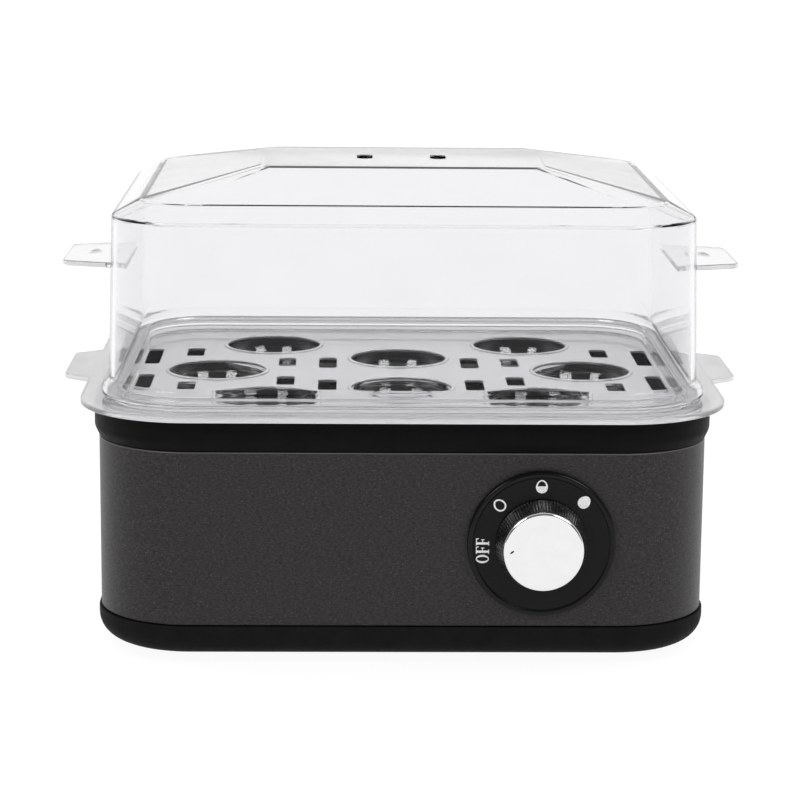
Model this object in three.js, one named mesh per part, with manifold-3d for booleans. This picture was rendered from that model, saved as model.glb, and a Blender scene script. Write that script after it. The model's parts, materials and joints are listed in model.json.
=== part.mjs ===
// Eight-egg steam cooker: a clear lid and a clear egg tray over a heated dish in a painted steel base.
// Millimetres. X runs to the right, Y to the back and Z up. The dial faces -Y.
import * as THREE from 'three';
import Module from 'manifold-3d';
import { mergeVertices } from 'three/addons/utils/BufferGeometryUtils.js';

const wasm = await Module();
wasm.setup();

// Clearances and cutting
const seatGap = 0.3;
const slideFit = 0.4;
const cutOverrun = 2;
const weldDistance = 0.001;

// Fineness of round stretches
const cornerSteps = 6;
const roundSides = 32;
const smallSides = 12;
const holeSides = 8;
const arcSteps = 3;
const slotSteps = 1;
const slotRoundShare = 0.476;
const cupSides = 20;
const cupSteps = 2;

// Painted steel band, whose outline the other mouldings follow
const bandHalfWidth = 119;
const bandHalfDepth = 101;
const bandCornerRadius = 36.5;
const bandWall = 1;
const bandHeight = 68.3;

// Rubber feet
const footHeight = 1.7;
const footRadius = 8;
const footStemRadius = 2.4;
const footHeadRadius = 3.4;
const footHeadHeight = 2;
const footInsetX = 35;
const footInsetY = 35;
const footTaperShare = 0.85;

// Bottom tray
const trayFloor = 2.4;
const trayWall = 2;
const trayLip = 0.9;
const trayUndercut = 9.5;
const trayRoundHeight = 9.2;
const trayLipHeight = 3.2;
const traySpigot = 6;
const ventLength = 34;
const ventWidth = 3.2;
const ventPitch = 8;
const ventsPerRow = 5;
const ventRowOffset = 38;

// Case screws, their pads in the bottom tray and their posts under the collar
const postTopRadius = 4.6;
const postFootRadius = 3.8;
const padRadius = 6.4;
const padHeight = 8;
const padSeat = 3;
const screwHeadRadius = 3.6;
const screwHeadHeight = 2.4;
const screwHeadShare = 0.8;
const screwDriveShare = 0.6;
const screwSlotShare = 0.25;
const screwShankRadius = 1.7;
const screwGrip = 14;

// Top collar with the basin that surrounds the heating plate
const collarLip = 1.7;
const collarHeight = 12.2;
const collarChamfer = 3.6;
const collarEdge = 0.6;
const collarSpigot = 6;
const collarWall = 1.8;
const collarTop = 2.5;
const basinInset = 7;
const basinWall = 2.2;
const basinDrop = 8.2;
const basinFall = 1.8;
const basinFillet = 2;
const plateOpeningInset = 23;

// Heating plate and its seal
const plateSheet = 2;
const plateFlange = 7.5;
const plateDepth = 7;
const plateFillet = 3.5;
const plateDish = 0.6;
const plateInset = 1.3;
const plateClearance = 1.4;
const plateDishShare = 0.3;
const sealThickness = 1.5;
const sealWidth = 5;
const studRadius = 1.6;
const studLength = 6;

// Plate clamps
const clampSheet = 1.5;
const clampWidth = 14;
const clampBossRadius = 2.9;
const clampScrewLength = 6;

// Tubular heating element
const elementRadius = 3.3;
const elementHalfWidth = 58;
const elementHalfDepth = 42;
const elementCorner = 18;
const elementGapHalf = 15;
const elementDrop = 12;
const elementSteps = 30;
const elementArcs = 3;
const pinRadius = 1.4;
const pinLength = 7;
const clipSheet = 0.8;
const clipWidth = 10;
const clipFoot = 9;

// Thermostat, thermal fuse and their holders
const thermostatRadius = 8.2;
const thermostatHeight = 6.4;
const thermostatFlangeRadius = 10;
const thermostatFlangeHeight = 1.4;
const thermostatStrapFoot = 7;
const thermostatStrapMargin = 1.6;
const tagWidth = 4.8;
const tagSheet = 0.8;
const tagLength = 7;
const fuseRadius = 2;
const fuseLength = 11;
const fuseTipRadius = 0.9;
const fuseTipLength = 5;
const fuseOffsetX = 34;
const fuseOffsetY = 20;
const nutHalfAcross = 2.9;
const nutThickness = 2.2;

// Rotary control, its bezel and its knob
const dialInset = 66.4;
const dialHeightShare = 0.487;
const bezelRadius = 28.4;
const bezelThickness = 2.2;
const bezelRim = 0.8;
const bezelRimWidth = 1.6;
const bezelRimShare = 0.25;
const bezelBoreRadius = 10;
const bezelPegRadius = 1.6;
const bezelPegLength = 4;
const bezelPegCircle = 22;
const controlWidth = 30;
const controlHeight = 27;
const controlDepth = 17;
const controlCornerShare = 0.1;
const controlTagShare = 0.33;
const controlBushRadius = 4.6;
const controlBushLength = 3.8;
const controlNutHalfAcross = 6.4;
const controlNutThickness = 1.7;
const shaftRadius = 3;
const shaftFlat = 1.6;
const knobBaseRadius = 17.8;
const knobFaceRadius = 15.4;
const knobLength = 9.2;
const knobWall = 2;
const knobRoundover = 0.6;
const fluteDepth = 0.35;
const fluteCount = 30;
const fluteFacets = 2;
const hubRadius = 6;
const capInset = 2;
const capThickness = 2;
const capEdge = 0.8;
const capSeat = 0.9;
const dimpleRadius = 1.5;
const dimpleDepth = 0.7;
const dimpleInset = 3.4;

// Cord gland and terminal block
const glandInset = 47;
const glandLift = 0.7;
const glandNeckRadius = 6;
const glandFlangeRadius = 8.6;
const glandFlangeThickness = 2;
const glandBoreRadius = 3.4;
const glandTailRadius = 5;
const glandTailLength = 3;
const terminalWidth = 30;
const terminalDepth = 17;
const terminalHeight = 13;
const terminalPoles = 3;
const terminalWellRadius = 2.3;
const terminalWellDepth = 5;
const terminalOffsetY = 50;

// Egg tray
const deckThickness = 2;
const deckDrop = 0.6;
const flangeReach = 7.3;
const flangeThickness = 2.2;
const ledgeInset = 2;
const ledgeHeight = 1.6;
const rimWall = 1.9;
const rimHeight = 3.9;
const deckFillet = 1.2;
const edgeRound = 0.7;
const cupRadius = 20;
const cupBottomRadius = 15.6;
const cupDepth = 11;
const cupWall = 1.7;
const cupCurveShare = 0.7;
const cupBead = 1.7;
const cupBeadHeight = 0.6;
const cornerCupXShare = 0.452;
const rearCupYShare = 0.574;
const frontCupYShare = 0.554;
const middleRearCupY = 27;
const middleFrontCupY = 36;
const sideCupXShare = 0.637;
const endSlotWidth = 6.6;
const endSlotLength = 33;
const endSlotGap = 1.4;
const endSlotRearY = 30.5;
const endSlotFrontY = 26;
const centreSlotWidth = 7.2;
const centreSlotLength = 22;
const centreSlotRearY = 17.6;
const centreSlotFrontY = 30.5;
const centreSlotXShare = 0.251;
const smallSlotWidth = 7;
const smallSlotLength = 17;
const innerSlotRearY = 18.7;
const innerSlotFrontY = 21.2;
const innerSlotXShare = 0.395;
const outerSlotRearY = 40.5;
const outerSlotFrontY = 33.5;
const outerSlotXShare = 0.73;
const slotCorner = 1.2;

// Side handles of the tray and of the lid
const handleLength = 10.7;
const handleHalfLength = 23;
const handleFlare = 7.5;
const handleCorner = 3;
const handleThickness = 2.2;
const thumbLength = 26;
const thumbWidth = 8;
const thumbDepth = 0.6;

// Lid
const lidWall = 2;
const lidSkirtInset = 1.2;
const lidSkirtHeight = 2.9;
const lidFlareHeight = 2.9;
const lidWallInset = 4;
const lidShoulderInset = 5.9;
const lidShoulderHeight = 69.6;
const lidShoulderRound = 1.5;
const lidCreaseInset = 16.6;
const lidCreaseRise = 6.1;
const plateauHalfWidth = 57;
const plateauHalfDepth = 35;
const plateauCorner = 6;
const plateauRise = 9;
const lidHandleRise = 42.6;
const lidVentWidth = 6;
const lidVentLength = 14;
const lidVentSpacing = 30;

// Heights worked out from the stack
const floorBottom = footHeight + seatGap;
const floorTop = floorBottom + trayFloor;
const lipTop = floorBottom + trayRoundHeight + trayLipHeight;
const bandBottom = lipTop + seatGap;
const bandTop = bandBottom + bandHeight;
const collarBottom = bandTop + seatGap;
const collarUpper = collarBottom + collarHeight;
const plateSeat = collarUpper - basinDrop - basinFall - basinWall;
const flangeTop = plateSeat - seatGap - sealThickness - seatGap;
const plateFloorTop = flangeTop - plateDepth;
const plateUnder = plateFloorTop - plateSheet;
const trayFlangeBottom = collarUpper + seatGap;
const trayFlangeTop = trayFlangeBottom + flangeThickness;
const deckTop = trayFlangeBottom - deckDrop;
const deckUnder = deckTop - deckThickness;
const ledgeTop = trayFlangeTop + ledgeHeight;
const rimTop = trayFlangeTop + rimHeight;
const skirtBottom = ledgeTop + seatGap;
const lidWallBottom = skirtBottom + lidSkirtHeight + lidFlareHeight;
const shoulderZ = skirtBottom + lidShoulderHeight;
const creaseZ = shoulderZ + lidCreaseRise;
const plateauZ = creaseZ + plateauRise;
const dialZ = bandBottom + bandHeight * dialHeightShare;
const glandZ = lipTop + traySpigot + glandLift + glandFlangeRadius;

// Places along the other two axes
const bandFront = -bandHalfDepth;
const bandRear = bandHalfDepth;
const dialX = bandHalfWidth - dialInset;
const glandX = glandInset - bandHalfWidth;
const handleReach = bandHalfWidth + flangeReach + handleLength;

// Insets from the band's outline, worked out from the plate outward
const plateWallInset = plateOpeningInset + plateInset;
const plateFlangeInset = plateWallInset - plateFlange;
const postEdge = plateFlangeInset - plateClearance - postTopRadius;
const postInset = bandCornerRadius - (bandCornerRadius - postEdge) * Math.SQRT1_2;
const clampBossInset = plateFlangeInset - plateClearance - clampBossRadius;
const clampTipInset = plateWallInset - plateSheet - plateClearance;
const clampReach = clampTipInset - clampBossInset + clampBossRadius;
const rimInset = basinInset + slideFit;
const endSlotX = bandHalfWidth - rimInset - rimWall - endSlotGap - endSlotWidth / 2;

// Colours and finishes
const blackPlastic = { color: 0x232123, roughness: 0.45, metalness: 0 };
const greyPaint = { color: 0x4b484a, roughness: 0.5, metalness: 0.45 };
const darkRubber = { color: 0x1b1b1c, roughness: 0.85, metalness: 0 };
const clearPlastic = { color: 0xeeeef0, roughness: 0.08, metalness: 0 };
const darkCoating = { color: 0x1c1b1d, roughness: 0.3, metalness: 0.3 };
const greySilicone = { color: 0xb9b9b6, roughness: 0.8, metalness: 0 };
const bareSteel = { color: 0xa9abae, roughness: 0.35, metalness: 1 };
const darkChrome = { color: 0x6d6d70, roughness: 0.18, metalness: 1 };
const brightChrome = { color: 0xf2f2f2, roughness: 0.12, metalness: 1 };
const glossBlack = { color: 0x222224, roughness: 0.2, metalness: 0 };
const heatResin = { color: 0xd9d3c4, roughness: 0.6, metalness: 0 };

const model = new THREE.Group();

// Solids from closed meshes, and back
function toSolid(geometry) {
  const bare = geometry.clone();
  bare.deleteAttribute('normal');
  bare.deleteAttribute('uv');
  const welded = mergeVertices(bare, weldDistance);
  const triVerts = welded.index ? welded.index.array : welded.attributes.position.array.map((value, i) => i);
  return new wasm.Manifold(new wasm.Mesh({
    numProp: 3,
    vertProperties: new Float32Array(welded.attributes.position.array),
    triVerts: new Uint32Array(triVerts),
  }));
}

function toGeometry(solid) {
  const mesh = solid.getMesh();
  const geometry = new THREE.BufferGeometry();
  geometry.setAttribute('position', new THREE.BufferAttribute(new Float32Array(mesh.vertProperties), 3));
  geometry.setIndex(new THREE.BufferAttribute(new Uint32Array(mesh.triVerts), 1));
  geometry.computeVertexNormals();
  return geometry;
}

function joined(first, ...others) {
  return others.reduce((sum, other) => sum.add(other), first);
}

function cut(first, ...others) {
  return others.reduce((rest, other) => rest.subtract(other), first);
}

// One named piece of the assembly
function addPiece(name, solid, finish) {
  const mesh = new THREE.Mesh(toGeometry(solid), new THREE.MeshStandardMaterial(finish));
  mesh.name = name;
  model.add(mesh);
}

// Points of a rounded rectangle, counter-clockwise from the right-hand side
function ringPoints({ halfWidth, halfDepth, radius, z }) {
  const points = [];
  const corners = [[1, 1], [-1, 1], [-1, -1], [1, -1]];
  corners.forEach(([sideX, sideY], quarter) => {
    for (let step = 0; step <= cornerSteps; step += 1) {
      const angle = (quarter + step / cornerSteps) * Math.PI / 2;
      const x = sideX * (halfWidth - radius) + radius * Math.cos(angle);
      const y = sideY * (halfDepth - radius) + radius * Math.sin(angle);
      points.push(new THREE.Vector3(x, y, z));
    }
  });
  return points;
}

// A level of the band's outline, grown or shrunk by an offset
function level(offset, z) {
  return {
    halfWidth: bandHalfWidth + offset,
    halfDepth: bandHalfDepth + offset,
    radius: bandCornerRadius + offset,
    z,
  };
}

// A closed skin through rings of points: a loop of rings, or a stack closed by a flat fan at each end
function skinThrough(rings, looped) {
  const count = rings[0].length;
  const points = rings.flat();
  const faces = [];
  const spans = looped ? rings.length : rings.length - 1;
  for (let span = 0; span < spans; span += 1) {
    const low = span * count;
    const high = ((span + 1) % rings.length) * count;
    for (let i = 0; i < count; i += 1) {
      const next = (i + 1) % count;
      faces.push(low + i, low + next, high + next, low + i, high + next, high + i);
    }
  }
  if (!looped) {
    [0, rings.length - 1].forEach((end) => {
      const centre = points.length;
      points.push(new THREE.Vector3(0, 0, rings[end][0].z));
      for (let i = 0; i < count; i += 1) {
        const here = end * count + i;
        const next = end * count + (i + 1) % count;
        faces.push(...(end === 0 ? [centre, next, here] : [centre, here, next]));
      }
    });
  }
  return toSolid(facingOut(points, faces));
}

function skin(levels, looped) {
  return skinThrough(levels.map(ringPoints), looped);
}

// A mesh whose faces are turned outward, judged by its signed volume
function facingOut(points, faces) {
  let volume = 0;
  const product = new THREE.Vector3();
  for (let i = 0; i < faces.length; i += 3) {
    const [a, b, c] = [points[faces[i]], points[faces[i + 1]], points[faces[i + 2]]];
    volume += product.crossVectors(b, c).dot(a);
  }
  if (volume < 0) {
    faces.reverse();
  }
  const geometry = new THREE.BufferGeometry().setFromPoints(points);
  geometry.setIndex(faces);
  return geometry;
}

// Turned solids about Z, from [radius, z] pairs that start and end on the axis or close on themselves
function turned(profile, sides = smallSides) {
  const points = profile.map(([radius, z]) => new THREE.Vector2(radius, z));
  const geometry = new THREE.LatheGeometry(points, sides);
  geometry.rotateX(Math.PI / 2);
  const welded = weldedPoints(geometry);
  return toSolid(facingOut(welded.points, welded.faces));
}

function weldedPoints(geometry) {
  const bare = geometry.clone();
  bare.deleteAttribute('normal');
  bare.deleteAttribute('uv');
  const welded = mergeVertices(bare, weldDistance);
  const position = welded.attributes.position;
  const points = [];
  for (let i = 0; i < position.count; i += 1) {
    points.push(new THREE.Vector3().fromBufferAttribute(position, i));
  }
  const faces = [];
  const index = welded.index.array;
  for (let i = 0; i < index.length; i += 3) {
    const corner = [index[i], index[i + 1], index[i + 2]];
    if (new Set(corner).size === 3) {
      faces.push(...corner);
    }
  }
  return { points, faces };
}

function rod(radius, low, high, sides = smallSides) {
  return turned([[0, low], [radius, low], [radius, high], [0, high]], sides);
}

function cone(lowRadius, highRadius, low, high, sides = smallSides) {
  return turned([[0, low], [lowRadius, low], [highRadius, high], [0, high]], sides);
}

// A box between two corners
function block(low, high) {
  const geometry = new THREE.BoxGeometry(high[0] - low[0], high[1] - low[1], high[2] - low[2]);
  geometry.translate((low[0] + high[0]) / 2, (low[1] + high[1]) / 2, (low[2] + high[2]) / 2);
  return toSolid(geometry);
}

// A flat shape in X and Y, extruded from one height to another
function prism(shape, low, high, curveSegments = slotSteps) {
  const settings = { depth: high - low, bevelEnabled: false, curveSegments };
  const geometry = new THREE.ExtrudeGeometry(shape, settings);
  geometry.translate(0, 0, low);
  return toSolid(geometry);
}

// A flat shape in X and Z, extruded along Y between two places
function crosswise(shape, front, rear) {
  const settings = { depth: rear - front, bevelEnabled: false, curveSegments: arcSteps };
  const geometry = new THREE.ExtrudeGeometry(shape, settings);
  geometry.rotateX(Math.PI / 2);
  geometry.translate(0, rear, 0);
  return toSolid(geometry);
}

function roundedSlot(width, length, corner) {
  const shape = new THREE.Shape();
  const x = width / 2;
  const y = length / 2;
  shape.moveTo(-x + corner, -y);
  shape.lineTo(x - corner, -y);
  shape.quadraticCurveTo(x, -y, x, -y + corner);
  shape.lineTo(x, y - corner);
  shape.quadraticCurveTo(x, y, x - corner, y);
  shape.lineTo(-x + corner, y);
  shape.quadraticCurveTo(-x, y, -x, y - corner);
  shape.lineTo(-x, -y + corner);
  shape.quadraticCurveTo(-x, -y, -x + corner, -y);
  return shape;
}

function hexagon(halfAcross) {
  const shape = new THREE.Shape();
  const radius = halfAcross / Math.cos(Math.PI / 6);
  for (let side = 0; side < 6; side += 1) {
    const angle = side * Math.PI / 3;
    shape[side === 0 ? 'moveTo' : 'lineTo'](radius * Math.cos(angle), radius * Math.sin(angle));
  }
  return shape;
}

// Turns a solid made about Z so that its +Z end points to the front
function facingFront(solid) {
  return solid.rotate([90, 0, 0]);
}

// Turns a solid made about Z so that its +Z end points to the back
function facingRear(solid) {
  return solid.rotate([-90, 0, 0]);
}

function rowsOfTwo(x, rearY, frontY) {
  return [[-x, -frontY], [x, -frontY], [-x, rearY], [x, rearY]];
}

function fourCorners(x, y) {
  return rowsOfTwo(x, y, y);
}

const cornerNames = ['front_left', 'front_right', 'rear_left', 'rear_right'];
const postPlaces = fourCorners(bandHalfWidth - postInset, bandHalfDepth - postInset);
const footPlaces = fourCorners(bandHalfWidth - footInsetX, bandHalfDepth - footInsetY);

// Screw about Z with its head below, from the underside of the head at zero
function screw(length, headRadius, headHeight) {
  const drive = headRadius * screwDriveShare;
  const driveHalf = drive * screwSlotShare;
  const body = turned([
    [0, -headHeight],
    [headRadius * screwHeadShare, -headHeight],
    [headRadius, 0],
    [screwShankRadius, 0],
    [screwShankRadius, length],
    [0, length],
  ], holeSides);
  const bottom = -headHeight - cutOverrun;
  const top = -headHeight / 2;
  return body.subtract(block([-drive, -driveHalf, bottom], [drive, driveHalf, top]));
}

// Rubber feet pushed into the bottom tray
function makeFeet() {
  const stemTop = floorTop + seatGap;
  footPlaces.forEach(([x, y], i) => {
    const foot = turned([
      [0, 0],
      [footRadius * footTaperShare, 0],
      [footRadius, footHeight],
      [footStemRadius, footHeight],
      [footStemRadius, stemTop],
      [footHeadRadius, stemTop],
      [footStemRadius, stemTop + footHeadHeight],
      [0, stemTop + footHeadHeight],
    ]);
    addPiece(`foot_${cornerNames[i]}`, foot.translate([x, y, 0]), darkRubber);
  });
}

// Heights that the bottom tray shares with what stands on it
const padTop = floorTop + padHeight;
const recessTop = padTop - padSeat;
const spigotOffset = -bandWall - slideFit;

// Bottom tray: rounded pan with a lip under the band, screw pads and vents
function makeBottomTray() {
  const levels = [];
  for (let step = 0; step <= arcSteps; step += 1) {
    const angle = (step / arcSteps) * Math.PI / 2;
    const offset = trayLip - trayUndercut * (1 - Math.sin(angle));
    levels.push(level(offset, floorBottom + trayRoundHeight * (1 - Math.cos(angle))));
  }
  levels.push(level(trayLip, lipTop));
  levels.push(level(spigotOffset, lipTop));
  levels.push(level(spigotOffset, lipTop + traySpigot));
  levels.push(level(spigotOffset - trayWall, lipTop + traySpigot));
  levels.push(level(spigotOffset - trayWall, floorBottom + trayRoundHeight));
  levels.push(level(trayLip - trayUndercut, floorTop));
  let tray = skin(levels, false);
  postPlaces.forEach(([x, y]) => {
    tray = tray.add(rod(padRadius, floorTop - trayFloor / 2, padTop, holeSides).translate([x, y, 0]));
  });
  postPlaces.forEach(([x, y]) => {
    const recess = rod(screwHeadRadius + seatGap, floorBottom - cutOverrun, recessTop, holeSides);
    const bore = rod(screwShankRadius + seatGap, floorBottom, padTop + cutOverrun, holeSides);
    tray = cut(tray, recess.translate([x, y, 0]), bore.translate([x, y, 0]));
  });
  footPlaces.forEach(([x, y]) => {
    const hole = rod(footStemRadius + seatGap, floorBottom - cutOverrun, floorTop + cutOverrun, holeSides);
    tray = tray.subtract(hole.translate([x, y, 0]));
  });
  const slot = roundedSlot(ventWidth, ventLength, ventWidth * slotRoundShare);
  const vent = prism(slot, floorBottom - cutOverrun, floorTop + cutOverrun);
  [-ventRowOffset, ventRowOffset].forEach((y) => {
    for (let i = 0; i < ventsPerRow; i += 1) {
      const x = (i - (ventsPerRow - 1) / 2) * ventPitch;
      tray = tray.subtract(vent.translate([x, y, 0]));
    }
  });
  addPiece('bottom_tray', tray, blackPlastic);
}

function makeCaseScrews() {
  postPlaces.forEach(([x, y], i) => {
    const fastener = screw(screwGrip, screwHeadRadius, screwHeadHeight);
    addPiece(`case_screw_${cornerNames[i]}`, fastener.translate([x, y, recessTop - seatGap]), bareSteel);
  });
}

// Painted sheet band with the holes for the control, the bezel's pegs and the gland
function makeBand() {
  const walls = [
    level(0, bandBottom),
    level(0, bandTop),
    level(-bandWall, bandTop),
    level(-bandWall, bandBottom),
  ];
  let band = skin(walls, true);
  const through = bandWall + cutOverrun;
  const bush = rod(controlBushRadius + seatGap, -through, through);
  band = band.subtract(onFront(bush));
  [-bezelPegCircle, bezelPegCircle].forEach((x) => {
    const peg = rod(bezelPegRadius + seatGap, -through, through);
    band = band.subtract(onFront(peg.translate([x, 0, 0])));
  });
  const gland = rod(glandNeckRadius + seatGap, -through, through);
  band = band.subtract(onRear(gland));
  addPiece('housing_band', band, greyPaint);
}

// From the dial's own frame, with +Z out of the front of the band, to the assembly
function onFront(solid) {
  return facingFront(solid).translate([dialX, bandFront, dialZ]);
}

// From the gland's own frame, with +Z out of the back of the band, to the assembly
function onRear(solid) {
  return facingRear(solid).translate([glandX, bandRear, glandZ]);
}

// Places round the plate's edge where a clamp holds it up
const clampPlaces = [
  { name: 'front', x: 0, y: -(bandHalfDepth - clampBossInset), turn: 0 },
  { name: 'right', x: bandHalfWidth - clampBossInset, y: 0, turn: 90 },
  { name: 'rear', x: 0, y: bandHalfDepth - clampBossInset, turn: 180 },
  { name: 'left', x: -(bandHalfWidth - clampBossInset), y: 0, turn: 270 },
];

// Top collar: outer lip, spigot into the band, basin round the plate, posts and clamp bosses
function makeCollar() {
  const basinTop = collarUpper - basinDrop;
  const profile = [
    level(collarLip - collarEdge, collarUpper),
    level(collarLip, collarUpper - collarEdge),
    level(collarLip, collarBottom + collarChamfer),
    level(0, collarBottom),
    level(spigotOffset, collarBottom),
    level(spigotOffset, collarBottom - collarSpigot),
    level(spigotOffset - collarWall, collarBottom - collarSpigot),
    level(spigotOffset - collarWall, collarUpper - collarTop),
    level(-basinInset + basinWall, collarUpper - collarTop),
    level(-basinInset + basinWall, plateSeat),
    level(-plateOpeningInset, plateSeat),
    level(-plateOpeningInset, basinTop - basinFall),
    level(-basinInset - basinFillet, basinTop),
    level(-basinInset, basinTop + basinFillet),
    level(-basinInset, collarUpper - collarEdge),
    level(-basinInset + collarEdge, collarUpper),
  ];
  let collar = skin(profile, true);
  const rooted = plateSeat + basinWall / 2;
  postPlaces.forEach(([x, y]) => {
    const post = cone(postFootRadius, postTopRadius, padTop + seatGap, rooted, holeSides);
    collar = collar.add(post.translate([x, y, 0]));
  });
  clampPlaces.forEach(({ x, y }) => {
    const boss = rod(clampBossRadius, flangeTop - plateSheet, rooted, holeSides);
    collar = collar.add(boss.translate([x, y, 0]));
  });
  postPlaces.forEach(([x, y]) => {
    const pilot = rod(screwShankRadius + seatGap, padTop, recessTop + screwGrip + cutOverrun, holeSides);
    collar = collar.subtract(pilot.translate([x, y, 0]));
  });
  clampPlaces.forEach(({ x, y }) => {
    const low = flangeTop - plateSheet - cutOverrun;
    const top = clampScrewSeat + clampScrewLength + seatGap;
    const pilot = rod(screwShankRadius + seatGap, low, top, holeSides);
    collar = collar.subtract(pilot.translate([x, y, 0]));
  });
  addPiece('top_collar', collar, blackPlastic);
}

// Heating plate: coated dish with a flange, a shallow well in the middle and studs below
const plateWallOffset = -plateWallInset;
const clampTop = flangeTop - plateSheet - seatGap;
const clampScrewSeat = clampTop - clampSheet - seatGap;
const elementZ = plateUnder - seatGap - elementRadius;
const elementClipReach = elementRadius + seatGap + clipSheet;
const fuseClipReach = fuseRadius + seatGap + clipSheet;
const thermostatStudX = thermostatFlangeRadius + thermostatStrapFoot / 2;
const elementStuds = [-1, 1].map((side) => [side * (elementHalfWidth - elementClipReach - clipFoot / 2), 0]);
const thermostatStuds = [-1, 1].map((side) => [side * thermostatStudX, 0]);
const fuseStud = [fuseOffsetX - fuseClipReach - clipFoot / 2, -fuseOffsetY];

function makeHeatingPlate() {
  const well = {
    halfWidth: bandHalfWidth * plateDishShare,
    halfDepth: bandHalfDepth * plateDishShare,
    radius: bandCornerRadius * plateDishShare,
    z: plateFloorTop - plateDish,
  };
  const levels = [well];
  for (let step = 0; step <= arcSteps; step += 1) {
    const angle = (step / arcSteps) * Math.PI / 2;
    const offset = plateWallOffset - plateFillet * (1 - Math.sin(angle));
    levels.push(level(offset, plateFloorTop + plateFillet * (1 - Math.cos(angle))));
  }
  levels.push(level(plateWallOffset, flangeTop));
  levels.push(level(plateWallOffset + plateFlange, flangeTop));
  levels.push(level(plateWallOffset + plateFlange, flangeTop - plateSheet));
  levels.push(level(plateWallOffset + plateSheet, flangeTop - plateSheet));
  for (let step = arcSteps; step >= 0; step -= 1) {
    const angle = (step / arcSteps) * Math.PI / 2;
    const radius = plateFillet + plateSheet;
    const offset = plateWallOffset + plateSheet - radius * (1 - Math.sin(angle));
    levels.push(level(offset, plateUnder + radius * (1 - Math.cos(angle))));
  }
  let plate = skin(levels, false);
  [...elementStuds, ...thermostatStuds, fuseStud].forEach(([x, y]) => {
    const stud = rod(studRadius, plateUnder - studLength, plateUnder + plateSheet / 2, holeSides);
    plate = plate.add(stud.translate([x, y, 0]));
  });
  addPiece('heating_plate', plate, darkCoating);
}

function makeSeal() {
  const outer = plateWallOffset + plateFlange - seatGap;
  const top = plateSeat - seatGap;
  const section = [
    level(outer, top),
    level(outer, top - sealThickness),
    level(outer - sealWidth, top - sealThickness),
    level(outer - sealWidth, top),
  ];
  addPiece('plate_seal', skin(section, true), greySilicone);
}

// Sheet clamps that hold the plate's flange up against the seal, with their screws
function makePlateClamps() {
  const shape = roundedSlot(clampWidth, clampReach, clampSheet);
  const tab = prism(shape, clampTop - clampSheet, clampTop);
  const hole = rod(screwShankRadius + seatGap, clampTop - clampSheet - cutOverrun, clampTop + cutOverrun);
  const shift = clampReach / 2 - clampBossRadius;
  const clamp = tab.translate([0, shift, 0]).subtract(hole);
  clampPlaces.forEach(({ name, x, y, turn }) => {
    addPiece(`plate_clamp_${name}`, clamp.rotate([0, 0, turn]).translate([x, y, 0]), bareSteel);
    const fastener = screw(clampScrewLength, screwHeadRadius, screwHeadHeight);
    addPiece(`clamp_screw_${name}`, fastener.translate([x, y, clampScrewSeat]), bareSteel);
  });
}

// A path through points, with each inner corner rounded by its own radius
function roundedPath(corners) {
  const path = new THREE.CurvePath();
  let from = corners[0].at;
  for (let i = 1; i < corners.length - 1; i += 1) {
    const { at, radius } = corners[i];
    const back = corners[i - 1].at.clone().sub(at).setLength(radius).add(at);
    const ahead = corners[i + 1].at.clone().sub(at).setLength(radius).add(at);
    path.add(new THREE.LineCurve3(from, back));
    path.add(new THREE.QuadraticBezierCurve3(back, at, ahead));
    from = ahead;
  }
  path.add(new THREE.LineCurve3(from, corners[corners.length - 1].at));
  return path;
}

function tube(path, radius, steps, arcs) {
  const section = new THREE.Shape();
  section.absarc(0, 0, radius, 0, Math.PI * 2);
  const settings = { steps, extrudePath: path, bevelEnabled: false, curveSegments: arcs };
  return toSolid(new THREE.ExtrudeGeometry(section, settings));
}

// Tubular element: one open loop under the plate, its two ends turned down to the terminal pins
function makeElement() {
  const low = elementZ - elementDrop;
  const bend = elementRadius * 2;
  const side = (x, y, z, radius) => ({ at: new THREE.Vector3(x, y, z), radius });
  const path = roundedPath([
    side(-elementGapHalf, elementHalfDepth, low, 0),
    side(-elementGapHalf, elementHalfDepth, elementZ, bend),
    side(-elementHalfWidth, elementHalfDepth, elementZ, elementCorner),
    side(-elementHalfWidth, -elementHalfDepth, elementZ, elementCorner),
    side(elementHalfWidth, -elementHalfDepth, elementZ, elementCorner),
    side(elementHalfWidth, elementHalfDepth, elementZ, elementCorner),
    side(elementGapHalf, elementHalfDepth, elementZ, bend),
    side(elementGapHalf, elementHalfDepth, low, 0),
  ]);
  let element = tube(path, elementRadius, elementSteps, elementArcs);
  [-elementGapHalf, elementGapHalf].forEach((x) => {
    const pin = rod(pinRadius, low - pinLength, low + pinRadius, holeSides);
    element = element.add(pin.translate([x, elementHalfDepth, 0]));
  });
  addPiece('heating_element', element, bareSteel);
}

// Sheet clip round a rod that runs along Y, with one foot on the plate at side -1 or +1
function clip(radius, side) {
  const inner = radius + seatGap;
  const outer = inner + clipSheet;
  const top = plateUnder - seatGap;
  const middle = top - radius;
  const shape = new THREE.Shape();
  shape.moveTo(outer + clipFoot, top);
  shape.lineTo(outer + clipFoot, top - clipSheet);
  shape.lineTo(outer, top - clipSheet);
  shape.lineTo(outer, middle);
  shape.absarc(0, middle, outer, 0, -Math.PI, true);
  shape.lineTo(-outer, top);
  shape.lineTo(-inner, top);
  shape.lineTo(-inner, middle);
  shape.absarc(0, middle, inner, Math.PI, Math.PI * 2, false);
  shape.lineTo(inner, top);
  const strap = crosswise(shape, -clipWidth / 2, clipWidth / 2);
  const hole = rod(studRadius + seatGap, top - clipSheet - cutOverrun, top + cutOverrun, holeSides);
  const clipped = strap.subtract(hole.translate([outer + clipFoot / 2, 0, 0]));
  return side > 0 ? clipped : clipped.mirror([1, 0, 0]);
}

function studNut(top) {
  const low = top - nutThickness;
  const bore = rod(studRadius + seatGap, low - cutOverrun, top + cutOverrun, holeSides);
  return prism(hexagon(nutHalfAcross), low, top).subtract(bore);
}

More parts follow.
